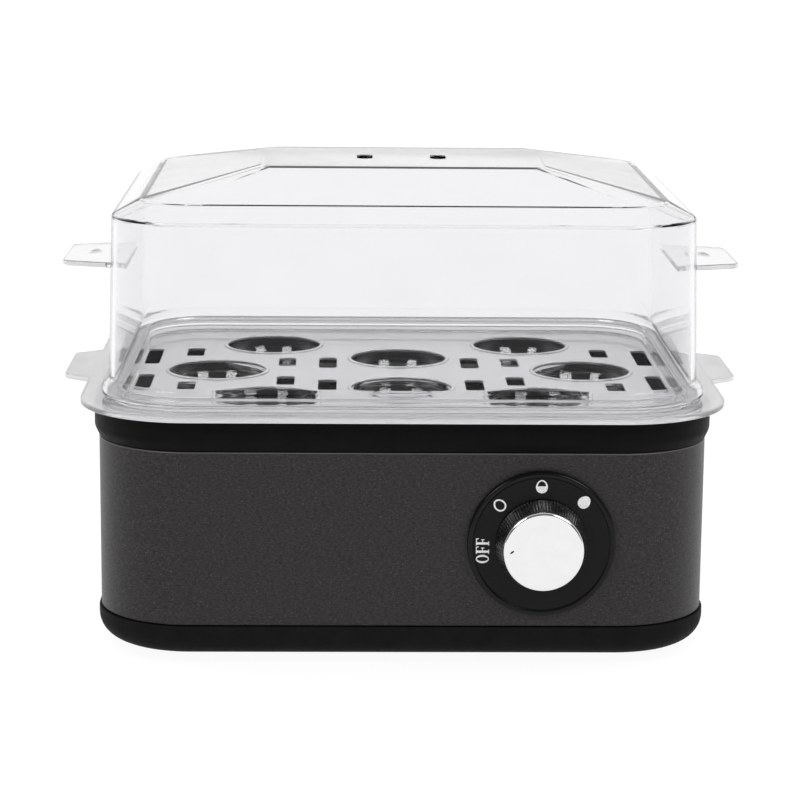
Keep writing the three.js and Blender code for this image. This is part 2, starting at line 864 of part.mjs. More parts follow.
// Clips, thermostat and fuse under the plate
function makePlateFittings() {
  const clipNutTop = plateUnder - seatGap - clipSheet - seatGap;
  ['left', 'right'].forEach((name, i) => {
    const side = i === 0 ? -1 : 1;
    const held = clip(elementRadius, -side).translate([side * elementHalfWidth, 0, 0]);
    addPiece(`element_clip_${name}`, held, bareSteel);
    const [x, y] = elementStuds[i];
    addPiece(`element_nut_${name}`, studNut(clipNutTop).translate([x, y, 0]), bareSteel);
  });
  const fuseZ = plateUnder - seatGap - fuseRadius;
  const fuse = turned([
    [0, -fuseLength / 2 - fuseTipLength],
    [fuseTipRadius, -fuseLength / 2 - fuseTipLength],
    [fuseTipRadius, -fuseLength / 2],
    [fuseRadius, -fuseLength / 2],
    [fuseRadius, fuseLength / 2],
    [fuseTipRadius, fuseLength / 2],
    [fuseTipRadius, fuseLength / 2 + fuseTipLength],
    [0, fuseLength / 2 + fuseTipLength],
  ]);
  addPiece('thermal_fuse', facingRear(fuse).translate([fuseOffsetX, -fuseOffsetY, fuseZ]), bareSteel);
  addPiece('fuse_clip', clip(fuseRadius, -1).translate([fuseOffsetX, -fuseOffsetY, 0]), bareSteel);
  addPiece('fuse_nut', studNut(clipNutTop).translate([fuseStud[0], fuseStud[1], 0]), bareSteel);
  const flangeFace = plateUnder - seatGap;
  const shoulder = flangeFace - thermostatFlangeHeight;
  const base = shoulder - thermostatHeight;
  let thermostat = turned([
    [0, base],
    [thermostatRadius, base],
    [thermostatRadius, shoulder],
    [thermostatFlangeRadius, shoulder],
    [thermostatFlangeRadius, flangeFace],
    [0, flangeFace],
  ]);
  [-1, 1].forEach((side) => {
    const x = side * thermostatRadius / 2;
    const low = [x - tagSheet / 2, -tagWidth / 2, base - tagLength];
    const high = [x + tagSheet / 2, tagWidth / 2, base + tagSheet];
    thermostat = thermostat.add(block(low, high));
  });
  addPiece('thermostat', thermostat, heatResin);
  const strapTop = shoulder - seatGap;
  const strapLength = 2 * (thermostatFlangeRadius + thermostatStrapFoot);
  const strapWidth = 2 * (thermostatRadius + seatGap + thermostatStrapMargin);
  const outline = roundedSlot(strapLength, strapWidth, thermostatStrapMargin);
  let strap = prism(outline, strapTop - clipSheet, strapTop);
  const high = strapTop + cutOverrun;
  strap = strap.subtract(rod(thermostatRadius + seatGap, strapTop - clipSheet - cutOverrun, high));
  thermostatStuds.forEach(([x, y]) => {
    const hole = rod(studRadius + seatGap, strapTop - clipSheet - cutOverrun, high, holeSides);
    strap = strap.subtract(hole.translate([x, y, 0]));
  });
  addPiece('thermostat_strap', strap, bareSteel);
  thermostatStuds.forEach(([x, y], i) => {
    const nut = studNut(strapTop - clipSheet - seatGap).translate([x, y, 0]);
    addPiece(`thermostat_nut_${i === 0 ? 'left' : 'right'}`, nut, bareSteel);
  });
}

// Rotary control behind the band, its nut and the glossy bezel, all in the dial's own frame
const controlFace = -(bandWall + seatGap);
const bushEnd = controlFace + controlBushLength;
const bezelFace = seatGap + bezelThickness;
const knobBase = bezelFace + bezelRim + seatGap;
const knobFace = knobBase + knobLength;
const hubEnd = knobFace - capSeat - knobWall;
const capBack = knobFace - capSeat + seatGap;
const capFront = capBack + capThickness;
const plugRadius = knobFaceRadius - capInset;

function makeControl() {
  const rear = controlFace - controlDepth;
  const outline = roundedSlot(controlWidth, controlHeight, controlWidth * controlCornerShare);
  let control = prism(outline, rear, controlFace);
  control = control.add(rod(controlBushRadius, rear + bandWall, bushEnd));
  [-1, 0, 1].forEach((side) => {
    const x = side * controlWidth * controlTagShare;
    const low = [x - tagWidth / 2, -tagSheet / 2, rear - tagLength];
    const high = [x + tagWidth / 2, tagSheet / 2, rear + tagSheet];
    control = control.add(block(low, high));
  });
  const bore = rod(shaftRadius + seatGap, rear + controlDepth / 2, bushEnd + cutOverrun);
  addPiece('rotary_control', onFront(control.subtract(bore)), heatResin);
  const nutTop = seatGap + controlNutThickness;
  const nut = prism(hexagon(controlNutHalfAcross), seatGap, nutTop);
  const threaded = rod(controlBushRadius + seatGap, seatGap - cutOverrun, nutTop + cutOverrun);
  addPiece('control_nut', onFront(nut.subtract(threaded)), bareSteel);
  let bezel = turned([
    [bezelBoreRadius, seatGap],
    [bezelRadius, seatGap],
    [bezelRadius, bezelFace],
    [bezelRadius - bezelRimWidth * bezelRimShare, bezelFace + bezelRim],
    [bezelRadius - bezelRimWidth * (1 - bezelRimShare), bezelFace + bezelRim],
    [bezelRadius - bezelRimWidth, bezelFace],
    [bezelBoreRadius, bezelFace],
    [bezelBoreRadius, seatGap],
  ], roundSides);
  [-bezelPegCircle, bezelPegCircle].forEach((x) => {
    const peg = rod(bezelPegRadius, -bezelPegLength, seatGap + bezelThickness / 2);
    bezel = bezel.add(peg.translate([x, 0, 0]));
  });
  addPiece('dial_bezel', onFront(bezel), glossBlack);
}

// Shaft with its flat, running in the control's bush
function makeShaft() {
  const low = controlFace - controlDepth / 2 + seatGap;
  const round = rod(shaftRadius, low, hubEnd - seatGap);
  const side = shaftRadius * 2;
  const flat = block([-side, shaftFlat, knobBase], [side, side, hubEnd]);
  addPiece('control_shaft', onFront(round.subtract(flat)), bareSteel);
}

// Knob: tapered body with fine flutes, hollow behind, with a hub that takes the shaft's flat
function makeKnob() {
  const count = fluteCount * fluteFacets;
  const fluted = (radius, depth, z) => Array.from({ length: count }, (unused, i) => {
    const angle = (i / count) * Math.PI * 2;
    const reach = radius - depth * (1 - Math.cos(angle * fluteCount)) / 2;
    return new THREE.Vector3(reach * Math.cos(angle), reach * Math.sin(angle), z);
  });
  const rimZ = knobFace - knobRoundover;
  let knob = skinThrough([
    fluted(knobBaseRadius, 0, knobBase),
    fluted(knobBaseRadius, 0, knobBase + knobRoundover),
    fluted(knobBaseRadius - fluteDepth, fluteDepth, knobBase + knobRoundover * 2),
    fluted(knobFaceRadius + knobRoundover / 2, fluteDepth, rimZ),
    fluted(knobFaceRadius, 0, knobFace),
  ], false);
  const cavityRear = knobBaseRadius - knobWall;
  const cavityFront = knobFaceRadius - knobWall;
  const cavity = turned([
    [hubRadius, knobBase - cutOverrun],
    [cavityRear, knobBase - cutOverrun],
    [cavityRear, knobBase],
    [cavityFront, hubEnd],
    [hubRadius, hubEnd],
    [hubRadius, knobBase - cutOverrun],
  ]);
  const boreRadius = shaftRadius + seatGap;
  const side = boreRadius * 2;
  const round = rod(boreRadius, knobBase - cutOverrun, hubEnd);
  const flat = block([-side, shaftFlat + seatGap, knobBase], [side, side, hubEnd + cutOverrun]);
  const seat = rod(plugRadius + seatGap, knobFace - capSeat, knobFace + cutOverrun, roundSides);
  knob = cut(knob, cavity, round.subtract(flat), seat);
  addPiece('knob_body', onFront(knob), darkChrome);
  let cap = turned([
    [0, capBack],
    [plugRadius, capBack],
    [plugRadius, knobFace + seatGap],
    [knobFaceRadius, knobFace + seatGap],
    [knobFaceRadius, capFront - capEdge],
    [knobFaceRadius - capEdge, capFront],
    [0, capFront],
  ], roundSides);
  const ballRadius = (dimpleRadius ** 2 + dimpleDepth ** 2) / (2 * dimpleDepth);
  const ball = new THREE.SphereGeometry(ballRadius, smallSides, smallSides / 2);
  ball.translate(dimpleInset - knobFaceRadius, 0, capFront - dimpleDepth + ballRadius);
  cap = cap.subtract(toSolid(ball));
  addPiece('knob_cap', onFront(cap), brightChrome);
}

// Cord gland in the rear wall, and the terminal block inside
function makeCordEntry() {
  const inside = -(bandWall + seatGap);
  const outside = seatGap + glandFlangeThickness;
  const end = outside + glandTailLength;
  const gland = turned([
    [glandBoreRadius, inside - glandFlangeThickness],
    [glandFlangeRadius, inside - glandFlangeThickness],
    [glandFlangeRadius, inside],
    [glandNeckRadius, inside],
    [glandNeckRadius, seatGap],
    [glandFlangeRadius, seatGap],
    [glandFlangeRadius, outside],
    [glandTailRadius, outside],
    [glandTailRadius, end],
    [glandBoreRadius, end],
    [glandBoreRadius, inside - glandFlangeThickness],
  ]);
  addPiece('cord_gland', onRear(gland), darkRubber);
  const blockLow = floorTop + seatGap;
  const blockTop = blockLow + terminalHeight;
  const halfWidth = terminalWidth / 2;
  const halfDepth = terminalDepth / 2;
  let terminal = block([-halfWidth, -halfDepth, blockLow], [halfWidth, halfDepth, blockTop]);
  for (let pole = 0; pole < terminalPoles; pole += 1) {
    const x = ((pole + 1 / 2) / terminalPoles - 1 / 2) * terminalWidth;
    const well = rod(terminalWellRadius, blockTop - terminalWellDepth, blockTop + cutOverrun, holeSides);
    const wire = facingRear(rod(terminalWellRadius, -terminalDepth, terminalDepth, holeSides));
    const wireZ = blockLow + terminalWellRadius * 2;
    terminal = cut(terminal, well.translate([x, 0, 0]), wire.translate([x, 0, wireZ]));
  }
  addPiece('terminal_block', terminal.translate([glandX, bandRear - terminalOffsetY, 0]), heatResin);
}

// Side handle for the +X side: a flat tab that widens towards the edge it grows from
function handle(root, edge, low) {
  const shape = new THREE.Shape();
  const half = handleHalfLength;
  const wide = half + handleFlare;
  shape.moveTo(root, -wide);
  shape.lineTo(edge, -wide);
  shape.lineTo(handleReach - handleCorner, -half);
  shape.quadraticCurveTo(handleReach, -half, handleReach, -half + handleCorner);
  shape.lineTo(handleReach, half - handleCorner);
  shape.quadraticCurveTo(handleReach, half, handleReach - handleCorner, half);
  shape.lineTo(edge, wide);
  shape.lineTo(root, wide);
  const tab = prism(shape, low, low + handleThickness, arcSteps);
  const thumb = new THREE.Shape();
  const middle = (edge + handleReach) / 2;
  thumb.absellipse(middle, 0, thumbWidth / 2, thumbLength / 2, 0, Math.PI * 2);
  const top = low + handleThickness;
  return tab.subtract(prism(thumb, top - thumbDepth, top + cutOverrun, smallSides / 2));
}

// Egg tray: flange on the collar, ledge for the lid, sunk deck with cups and steam slots, two handles
const rearCupY = bandHalfDepth * rearCupYShare;
const frontCupY = bandHalfDepth * frontCupYShare;
const cupPlaces = [
  ...rowsOfTwo(bandHalfWidth * cornerCupXShare, rearCupY, frontCupY),
  [0, -middleFrontCupY],
  [0, middleRearCupY],
  [-bandHalfWidth * sideCupXShare, 0],
  [bandHalfWidth * sideCupXShare, 0],
];

const slotSets = [
  {
    width: endSlotWidth,
    length: endSlotLength,
    places: rowsOfTwo(endSlotX, endSlotRearY, endSlotFrontY),
  },
  {
    width: centreSlotWidth,
    length: centreSlotLength,
    places: rowsOfTwo(bandHalfWidth * centreSlotXShare, centreSlotRearY, centreSlotFrontY),
  },
  {
    width: smallSlotWidth,
    length: smallSlotLength,
    places: [
      ...rowsOfTwo(bandHalfWidth * innerSlotXShare, innerSlotRearY, innerSlotFrontY),
      ...rowsOfTwo(bandHalfWidth * outerSlotXShare, outerSlotRearY, outerSlotFrontY),
    ],
  },
];

function eggCup() {
  const bowl = [];
  for (let step = 0; step <= cupSteps; step += 1) {
    const share = step / cupSteps;
    const angle = share * Math.PI / 2 * cupCurveShare;
    const narrow = (1 - Math.cos(angle)) / (1 - Math.cos(Math.PI / 2 * cupCurveShare));
    bowl.push([cupRadius - (cupRadius - cupBottomRadius) * narrow, deckTop - cupDepth * share]);
  }
  return turned([
    ...bowl,
    [cupBottomRadius + cupWall, deckTop - cupDepth],
    [cupRadius + cupBead, deckUnder],
    [cupRadius + cupBead, deckTop],
    [cupRadius + cupBead / 2, deckTop + cupBeadHeight],
    bowl[0],
  ], cupSides);
}

function makeEggTray() {
  const innerFace = -rimInset - rimWall;
  const lean = deckFillet * (1 - Math.SQRT1_2);
  const profile = [
    level(innerFace - deckFillet, deckTop),
    level(innerFace - lean, deckTop + lean),
    level(innerFace, deckTop + deckFillet),
    level(innerFace, rimTop - edgeRound),
    level(innerFace + edgeRound / 2, rimTop),
    level(-rimInset - edgeRound / 2, rimTop),
    level(-rimInset, rimTop - edgeRound),
    level(-rimInset, ledgeTop),
    level(-ledgeInset, ledgeTop),
    level(-ledgeInset, trayFlangeTop),
    level(flangeReach - edgeRound, trayFlangeTop),
    level(flangeReach, trayFlangeTop - edgeRound),
    level(flangeReach, trayFlangeBottom + edgeRound),
    level(flangeReach - edgeRound, trayFlangeBottom),
    level(-basinInset - slideFit, trayFlangeBottom),
    level(-basinInset - slideFit, deckUnder),
  ];
  let tray = skin(profile, false);
  const hole = rod(cupRadius, deckUnder - cutOverrun, deckTop + cutOverrun, cupSides);
  cupPlaces.forEach(([x, y]) => {
    tray = tray.subtract(hole.translate([x, y, 0]));
  });
  const cup = eggCup();
  cupPlaces.forEach(([x, y]) => {
    tray = tray.add(cup.translate([x, y, 0]));
  });
  slotSets.forEach(({ width, length, places }) => {
    const slot = prism(roundedSlot(width, length, slotCorner), deckUnder - cutOverrun, deckTop + cutOverrun);
    places.forEach(([x, y]) => {
      tray = tray.subtract(slot.translate([x, y, 0]));
    });
  });
  const edge = bandHalfWidth + flangeReach - seatGap;
  const grip = handle(edge - edgeRound * 2, edge, trayFlangeBottom);
  tray = joined(tray, grip, grip.mirror([1, 0, 0]));
  addPiece('egg_tray', tray, clearPlastic);
}

// Lid: skirt and flare on the ledge, tall wall, chamfered shoulder, hipped top with two steam vents
function plateau(shrink, z) {
  return {
    halfWidth: plateauHalfWidth - shrink,
    halfDepth: plateauHalfDepth - shrink,
    radius: plateauCorner,
    z,
  };
}

function makeLid() {
  const skirtTop = skirtBottom + lidSkirtHeight;
  const round = lidShoulderRound;
  const profile = [
    plateau(0, plateauZ),
    level(-lidCreaseInset, creaseZ),
    level(-lidShoulderInset - round, shoulderZ + round / 2),
    level(-lidShoulderInset, shoulderZ - round),
    level(-lidWallInset, lidWallBottom),
    level(-lidSkirtInset, skirtTop),
    level(-lidSkirtInset, skirtBottom),
    level(-lidSkirtInset - lidWall, skirtBottom),
    level(-lidSkirtInset - lidWall, skirtTop - lidWall / 2),
    level(-lidWallInset - lidWall, lidWallBottom - lidWall / 2),
    level(-lidShoulderInset - lidWall, shoulderZ - round),
    level(-lidCreaseInset - lidWall / 2, creaseZ - lidWall),
    plateau(0, plateauZ - lidWall),
  ];
  let lid = skin(profile, false);
  const vent = prism(
    roundedSlot(lidVentWidth, lidVentLength, lidVentWidth * slotRoundShare),
    plateauZ - lidWall - cutOverrun,
    plateauZ + cutOverrun,
  );
  [-lidVentSpacing / 2, lidVentSpacing / 2].forEach((x) => {
    lid = lid.subtract(vent.translate([x, 0, 0]));
  });
  const edge = bandHalfWidth - lidShoulderInset + lidWall / 2;
  const grip = handle(edge - lidWall, edge, skirtBottom + lidHandleRise);
  lid = joined(lid, grip, grip.mirror([1, 0, 0]));
  addPiece('lid', lid, clearPlastic);
}

makeFeet();
makeBottomTray();
makeCaseScrews();
makeBand();
makeCollar();
makeHeatingPlate();
makeSeal();
makePlateClamps();
makeElement();
makePlateFittings();
makeControl();
makeShaft();
makeKnob();
makeCordEntry();
makeEggTray();
makeLid();

// The origin lies under the middle of the whole object's box
const frontMost = bandFront - capFront;
const rearMost = bandRear + Math.max(flangeReach, seatGap + glandFlangeThickness + glandTailLength);
model.position.y = -(frontMost + rearMost) / 2;

export default model;
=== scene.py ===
import json
import math

import bmesh
import bpy
from mathutils import Matrix, Vector

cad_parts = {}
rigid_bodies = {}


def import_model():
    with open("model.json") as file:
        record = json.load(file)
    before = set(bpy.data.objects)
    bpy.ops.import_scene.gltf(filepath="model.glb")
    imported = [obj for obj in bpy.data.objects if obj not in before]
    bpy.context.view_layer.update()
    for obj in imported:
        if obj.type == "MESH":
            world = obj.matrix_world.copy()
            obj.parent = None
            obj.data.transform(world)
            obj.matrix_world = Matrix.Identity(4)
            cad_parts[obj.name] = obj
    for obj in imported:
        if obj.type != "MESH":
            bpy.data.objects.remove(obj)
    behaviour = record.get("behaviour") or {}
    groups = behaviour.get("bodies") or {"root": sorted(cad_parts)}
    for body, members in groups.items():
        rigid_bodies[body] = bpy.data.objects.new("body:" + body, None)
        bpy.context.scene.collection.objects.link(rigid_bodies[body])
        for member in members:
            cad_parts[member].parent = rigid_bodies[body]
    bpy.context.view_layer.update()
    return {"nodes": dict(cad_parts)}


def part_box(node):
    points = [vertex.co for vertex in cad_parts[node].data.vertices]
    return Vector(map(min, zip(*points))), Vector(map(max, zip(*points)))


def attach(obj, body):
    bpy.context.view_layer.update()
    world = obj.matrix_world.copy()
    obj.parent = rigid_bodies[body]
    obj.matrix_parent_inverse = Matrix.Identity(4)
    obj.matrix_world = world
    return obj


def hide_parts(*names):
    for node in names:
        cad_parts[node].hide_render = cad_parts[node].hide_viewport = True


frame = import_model()

# Looks of an eight-egg steam cooker. Shapes are worked out in millimetres in the row frame,
# from the CAD nodes' boxes and the named sizes below, and turned into metres when placed.
MM = 0.001

# Fineness
CORNER_STEPS = 20
FILLET_STEPS = 4
ARC_STEPS = 8
PAN_STEPS = 12
SLOT_STEPS = 5
ROUND_SIDES = 96
CUP_SIDES = 64
SMALL_SIDES = 48
WELD_DISTANCE = 1e-5
ON_AXIS = 1e-6
SHARP_ANGLE = 32
KNOB_SHARP_ANGLE = 40
LID_SHARP_ANGLE = 9

# Camera, as fitted to the photograph, with its place taken from the middle of the band
CAMERA_PLACE = (-24.0, -1064.1, 303.7)
CAMERA_PITCH = 11.73
CAMERA_YAW = -1.31
CAMERA_ROLL = 0.5
CAMERA_LENS = 117.0
CAMERA_SENSOR = 36.0


def cad(node):
    """Lowest and highest corner of a CAD node, in millimetres."""
    low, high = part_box(node)
    return low / MM, high / MM


BAND_LOW, BAND_HIGH = cad("housing_band")
PAN_LOW, PAN_HIGH = cad("bottom_tray")
COLLAR_HIGH = cad("top_collar")[1]
PLATE_HIGH = cad("heating_plate")[1]
TRAY_HIGH = cad("egg_tray")[1]
LID_LOW, LID_HIGH = cad("lid")
BEZEL_LOW, BEZEL_HIGH = cad("dial_bezel")
KNOB_LOW, KNOB_HIGH = cad("knob_body")
CAP_LOW, CAP_HIGH = cad("knob_cap")

MIDDLE_Y = (BAND_LOW.y + BAND_HIGH.y) / 2
HALF_X = BAND_HIGH.x
HALF_Y = (BAND_HIGH.y - BAND_LOW.y) / 2
CORNER = 36.5

# Gaps and easings that several pieces share
SEAT_GAP = 0.3
CUT_OVERRUN = 2.0
HIDDEN_EASE = 0.3
SOFT_EASE = 0.4

# Base
BAND_WALL = 1.0
BAND_EDGE = 0.55
PAN_UNDERCUT = 9.5
PAN_ROUND = 9.2
PAN_FLOOR = 2.4
PAN_LIP = 0.9
PAN_LIP_EDGE = 0.5
PAN_INNER_EASE = 1.0
SPIGOT_GAP = 0.4
SPIGOT_WALL = 2.0
COLLAR_EDGE = 0.9
COLLAR_CHAMFER = 3.6
COLLAR_LIP = 1.7
COLLAR_LIP_EASE = 1.2
COLLAR_SPIGOT = 6.0
COLLAR_SPIGOT_WALL = 1.8
COLLAR_TOP_WALL = 2.5
BASIN_INSET = 7.0
BASIN_DROP = 8.2
BASIN_FALL = 1.8
BASIN_WALL = 2.2
BASIN_FILLET = 2.0
BASIN_SEAT_EASE = 0.5
BASIN_MOUTH_EASE = 0.8
OPENING_INSET = 23.0
PLATE_INSET = 24.3
PLATE_SHEET = 2.0
PLATE_FLANGE = 7.5
PLATE_FILLET = 3.5
PLATE_DEPTH = 9.0
PLATE_RIM_EASE = 1.0
PLATE_BEND_EASE = 0.8

# Egg tray
FLANGE_REACH = 7.3
FLANGE_THICK = 2.2
FLANGE_EDGE = 0.7
LEDGE_INSET = 2.0
LEDGE_RISE = 1.6
LEDGE_EDGE = 0.5
RIM_INSET = 7.4
RIM_WALL = 1.9
RIM_EDGE = 0.6
DECK_DROP = 0.6
DECK_THICK = 0.9
DECK_FILLET = 1.2
CUP_RADIUS = 20.0
CUP_FOOT_RADIUS = 15.6
CUP_DEPTH = 11.0
CUP_SWEEP = math.pi * 0.35
CUP_WALL = 1.7
CUP_FOOT_EASE = 0.5
CUP_BEAD = 1.7
CUP_BEAD_RISE = 0.6
CUP_BEAD_SLOPE = 0.3
CUP_MOUTH_STEP = 0.2
CUP_CUT_MARGIN = 0.8
CUP_PLACES = (
    (-53.8, -55.95), (53.8, -55.95), (-53.8, 57.97), (53.8, 57.97),
    (0, -36), (0, 27), (-75.8, 0), (75.8, 0),
)
SLOT_EDGE = 0.5
SLOTS = (  # width, length, x, rear y, front y, corner
    (6.6, 33.0, 105.0, 30.5, -26.0, 1.6),
    (7.2, 22.0, 29.9, 17.6, -30.5, 1.4),
    (7.0, 17.0, 47.0, 18.7, -21.2, 1.4),
    (7.0, 17.0, 86.9, 40.5, -33.5, 1.4),
)

TRAY_DECK = COLLAR_HIGH.z + SEAT_GAP - DECK_DROP

# Side handles
HANDLE_REACH = TRAY_HIGH.x
HANDLE_ROOT = 5.0
HANDLE_HALF = 23.0
HANDLE_FLARE = 7.5
HANDLE_CORNER = 3.0
HANDLE_FILLET = 2.5
HANDLE_THICK = 2.0
HANDLE_EDGE = 0.45
THUMB_LENGTH = 26.0
THUMB_WIDTH = 8.0
THUMB_DEPTH = 0.22

# Lid
LID_WALL = 2.0
LID_SKIRT_INSET = 1.2
LID_SKIRT_RISE = 2.9
LID_FLARE_RISE = 2.9
LID_WALL_INSET = 4.0
LID_SHOULDER_INSET = 5.9
LID_SHOULDER_RISE = 69.6
LID_CREASE_INSET = 16.6
LID_CREASE_RISE = 6.1
LID_FLARE_EASE = 1.0
LID_WALL_EASE = 1.2
LID_SHOULDER_EASE = 0.8
LID_CREASE_EASE = 0.6
INNER_FLARE_DROP = 1.0
INNER_SHOULDER_DROP = 1.4
INNER_CREASE_SHIFT = 2.6
INNER_CREASE_DROP = 1.85
INNER_CREASE_EASE = 1.0
ROOF_RUN = 20.0
ROOF_RISE = 2.0
PLATEAU_HALF_X = 57.0
PLATEAU_HALF_Y = 35.0
PLATEAU_CORNER = 6.0
LID_HANDLE_RISE = 42.6
VENT_WIDTH = 6.0
VENT_LENGTH = 14.0
VENT_SPACING = 30.0
VENT_CORNER = VENT_WIDTH / 2.1
VENT_EDGE = 0.4

# Dial
DIAL_X = (BEZEL_LOW.x + BEZEL_HIGH.x) / 2
DIAL_Z = (BEZEL_LOW.z + BEZEL_HIGH.z) / 2
BEZEL_RADIUS = (BEZEL_HIGH.x - BEZEL_LOW.x) / 2
BEZEL_FACE = 2.5
BEZEL_BACK_EASE = 0.2
BEZEL_RIM = 0.35
BEZEL_RIM_WIDTH = 1.9
BEZEL_RIM_EASE = 1.4
BEZEL_RIM_SLOPE = 0.5
BEZEL_BORE = 10.0
KNOB_BASE_RADIUS = (KNOB_HIGH.x - KNOB_LOW.x) / 2
KNOB_FACE_RADIUS = (CAP_HIGH.x - CAP_LOW.x) / 2
KNOB_BASE = BAND_LOW.y - KNOB_HIGH.y
KNOB_FACE = BAND_LOW.y - KNOB_LOW.y
KNOB_FOOT_EASE = 0.3
KNOB_SKIRT = 0.9
KNOB_SKIRT_TAPER = 0.2
KNOB_FACE_EASE = 0.4
KNOB_BORE = 3.4
FLUTES = 90
FLUTE_STEPS = 6
FLUTE_DEPTH = 0.24
CAP_OVERHANG = 2.0
CAP_PLUG_RADIUS = KNOB_FACE_RADIUS - CAP_OVERHANG
CAP_PLUG_EASE = 0.2
CAP_SEAT = 0.9
CAP_BACK = BAND_LOW.y - CAP_HIGH.y
CAP_FRONT = BAND_LOW.y - CAP_LOW.y
CAP_EDGE = 1.1
DIMPLE_INSET = 3.4
DIMPLE_RADIUS = 0.95
DIMPLE_DEPTH = 0.6
DIMPLE_SLIM = 0.36
DIMPLE_SLANT = 35
DIMPLE_MARGIN = 0.2
DIMPLE_SKIN = 0.02
DIMPLE_BELOW = 0.1


# Shape helpers

def ring(half_x, half_y, radius, z):
    """Rounded rectangle about the middle of the band, anticlockwise from the right."""
    points = []
    for quarter, (sx, sy) in enumerate(((1, 1), (-1, 1), (-1, -1), (1, -1))):
        for step in range(CORNER_STEPS + 1):
            angle = (quarter + step / CORNER_STEPS) * math.pi / 2
            points.append(Vector((
                sx * (half_x - radius) + radius * math.cos(angle),
                MIDDLE_Y + sy * (half_y - radius) + radius * math.sin(angle),
                z,
            )))
    return points


def level(offset, z):
    """The band's own outline, grown or shrunk by an offset."""
    return ring(HALF_X + offset, HALF_Y + offset, CORNER + offset, z)


def filleted(profile, closed):
    """The (a, b) points of a profile of (a, b, radius) corners, each eased by its radius."""
    points = []
    last = len(profile) - 1
    for i, (a, b, radius) in enumerate(profile):
        here = Vector((a, b))
        if not radius or (not closed and i in (0, last)):
            points.append((a, b))
            continue
        before = Vector(profile[i - 1][:2]) - here
        after = Vector(profile[(i + 1) % len(profile)][:2]) - here
        reach = min(radius, before.length / 2, after.length / 2)
        start = here + before.normalized() * reach
        end = here + after.normalized() * reach
        for step in range(FILLET_STEPS + 1):
            t = step / FILLET_STEPS
            point = start * (1 - t) ** 2 + here * (2 * t * (1 - t)) + end * t ** 2
            points.append((point.x, point.y))
    return points


def skin(rings, looped):
    """A closed mesh through rings of equal length: a loop, or a stack with flat ends."""
    bm = bmesh.new()
    rows = [[bm.verts.new(p) for p in points] for points in rings]
    count = len(rows[0])
    for i in range(len(rows) if looped else len(rows) - 1):
        low, high = rows[i], rows[(i + 1) % len(rows)]
        for j in range(count):
            k = (j + 1) % count
            bm.faces.new((low[j], low[k], high[k], high[j]))
    if not looped:
        bm.faces.new(list(reversed(rows[0])))
        bm.faces.new(rows[-1])
    bmesh.ops.remove_doubles(bm, verts=bm.verts, dist=WELD_DISTANCE)
    bmesh.ops.recalc_face_normals(bm, faces=bm.faces)
    return bm


def banded(profile, looped=True):
    """A solid that follows the band's outline, from (offset, z, radius) corners."""
    return skin([level(offset, z) for offset, z in filleted(profile, looped)], looped)


def circle(radius, z, sides):
    """Points of a circle about Z."""
    turns = [2 * math.pi * j / sides for j in range(sides)]
    return [Vector((radius * math.cos(turn), radius * math.sin(turn), z)) for turn in turns]


def turned(profile, sides=ROUND_SIDES):
    """A solid turned about Z from (radius, z, easing) corners that start and end on its axis."""
    bm = bmesh.new()
    rows = []
    for radius, z in filleted(profile, False):
        places = [(0, 0, z)] if radius < ON_AXIS else circle(radius, z, sides)
        rows.append([bm.verts.new(place) for place in places])
    for low, high in zip(rows, rows[1:]):
        for j in range(sides):
            k = (j + 1) % sides
            if len(low) == 1:
                bm.faces.new((low[0], high[k], high[j]))
            elif len(high) == 1:
                bm.faces.new((low[j], low[k], high[0]))
            else:
                bm.faces.new((low[j], low[k], high[k], high[j]))
    bmesh.ops.recalc_face_normals(bm, faces=bm.faces)
    return bm


def hoop(profile, sides=ROUND_SIDES):
    """A solid turned about Z from a closed profile that stays off the axis."""
    return skin([circle(radius, z, sides) for radius, z in filleted(profile, True)], True)


def slot_loop(width, length, corner, grow):
    """Outline of a slot with round corners about the origin."""
    x, y, radius = width / 2 + grow, length / 2 + grow, corner + grow
    points = []
    for quarter, (sx, sy) in enumerate(((1, 1), (-1, 1), (-1, -1), (1, -1))):
        for step in range(SLOT_STEPS + 1):
            angle = (quarter + step / SLOT_STEPS) * math.pi / 2
            points.append((sx * (x - radius) + radius * math.cos(angle),
                           sy * (y - radius) + radius * math.sin(angle)))
    return points


def slot_cutter(width, length, corner, place, low, top, edge):
    """A cutter for one slot, which flares at the top to ease the rim of the slot."""
    x, y = place
    steps = [(0, low)]
    for step in range(FILLET_STEPS + 1):
        angle = step / FILLET_STEPS * math.pi / 2
        steps.append((edge * (1 - math.cos(angle)), top - edge + edge * math.sin(angle)))
    steps.append((edge, top + edge))
    rings = []
    for grow, z in steps:
        loop = slot_loop(width, length, corner, grow)
        rings.append([Vector((x + a, MIDDLE_Y + y + b, z)) for a, b in loop])
    return skin(rings, False)


def moved(bm, matrix):
    """The same bmesh after a transform."""
    bmesh.ops.transform(bm, matrix=matrix, verts=bm.verts)
    return bm


def ball(radius, scale):
    """A finely faceted ball about the origin, stretched along the axes."""
    bm = bmesh.new()
    bmesh.ops.create_uvsphere(bm, u_segments=SMALL_SIDES, v_segments=SMALL_SIDES, radius=radius)
    bmesh.ops.scale(bm, vec=scale, verts=bm.verts)
    return bm


def bowl_radius(reach, depth):
    """Radius of the ball that cuts a hollow of a given reach and depth."""
    return (depth ** 2 + reach ** 2) / (2 * depth)


def united(*parts):
    """Several bmeshes in one, without joining their surfaces."""
    bm = bmesh.new()
    for part in parts:
        mesh = bpy.data.meshes.new("part")
        part.to_mesh(mesh)
        part.free()
        bm.from_mesh(mesh)
        bpy.data.meshes.remove(mesh)
    return bm


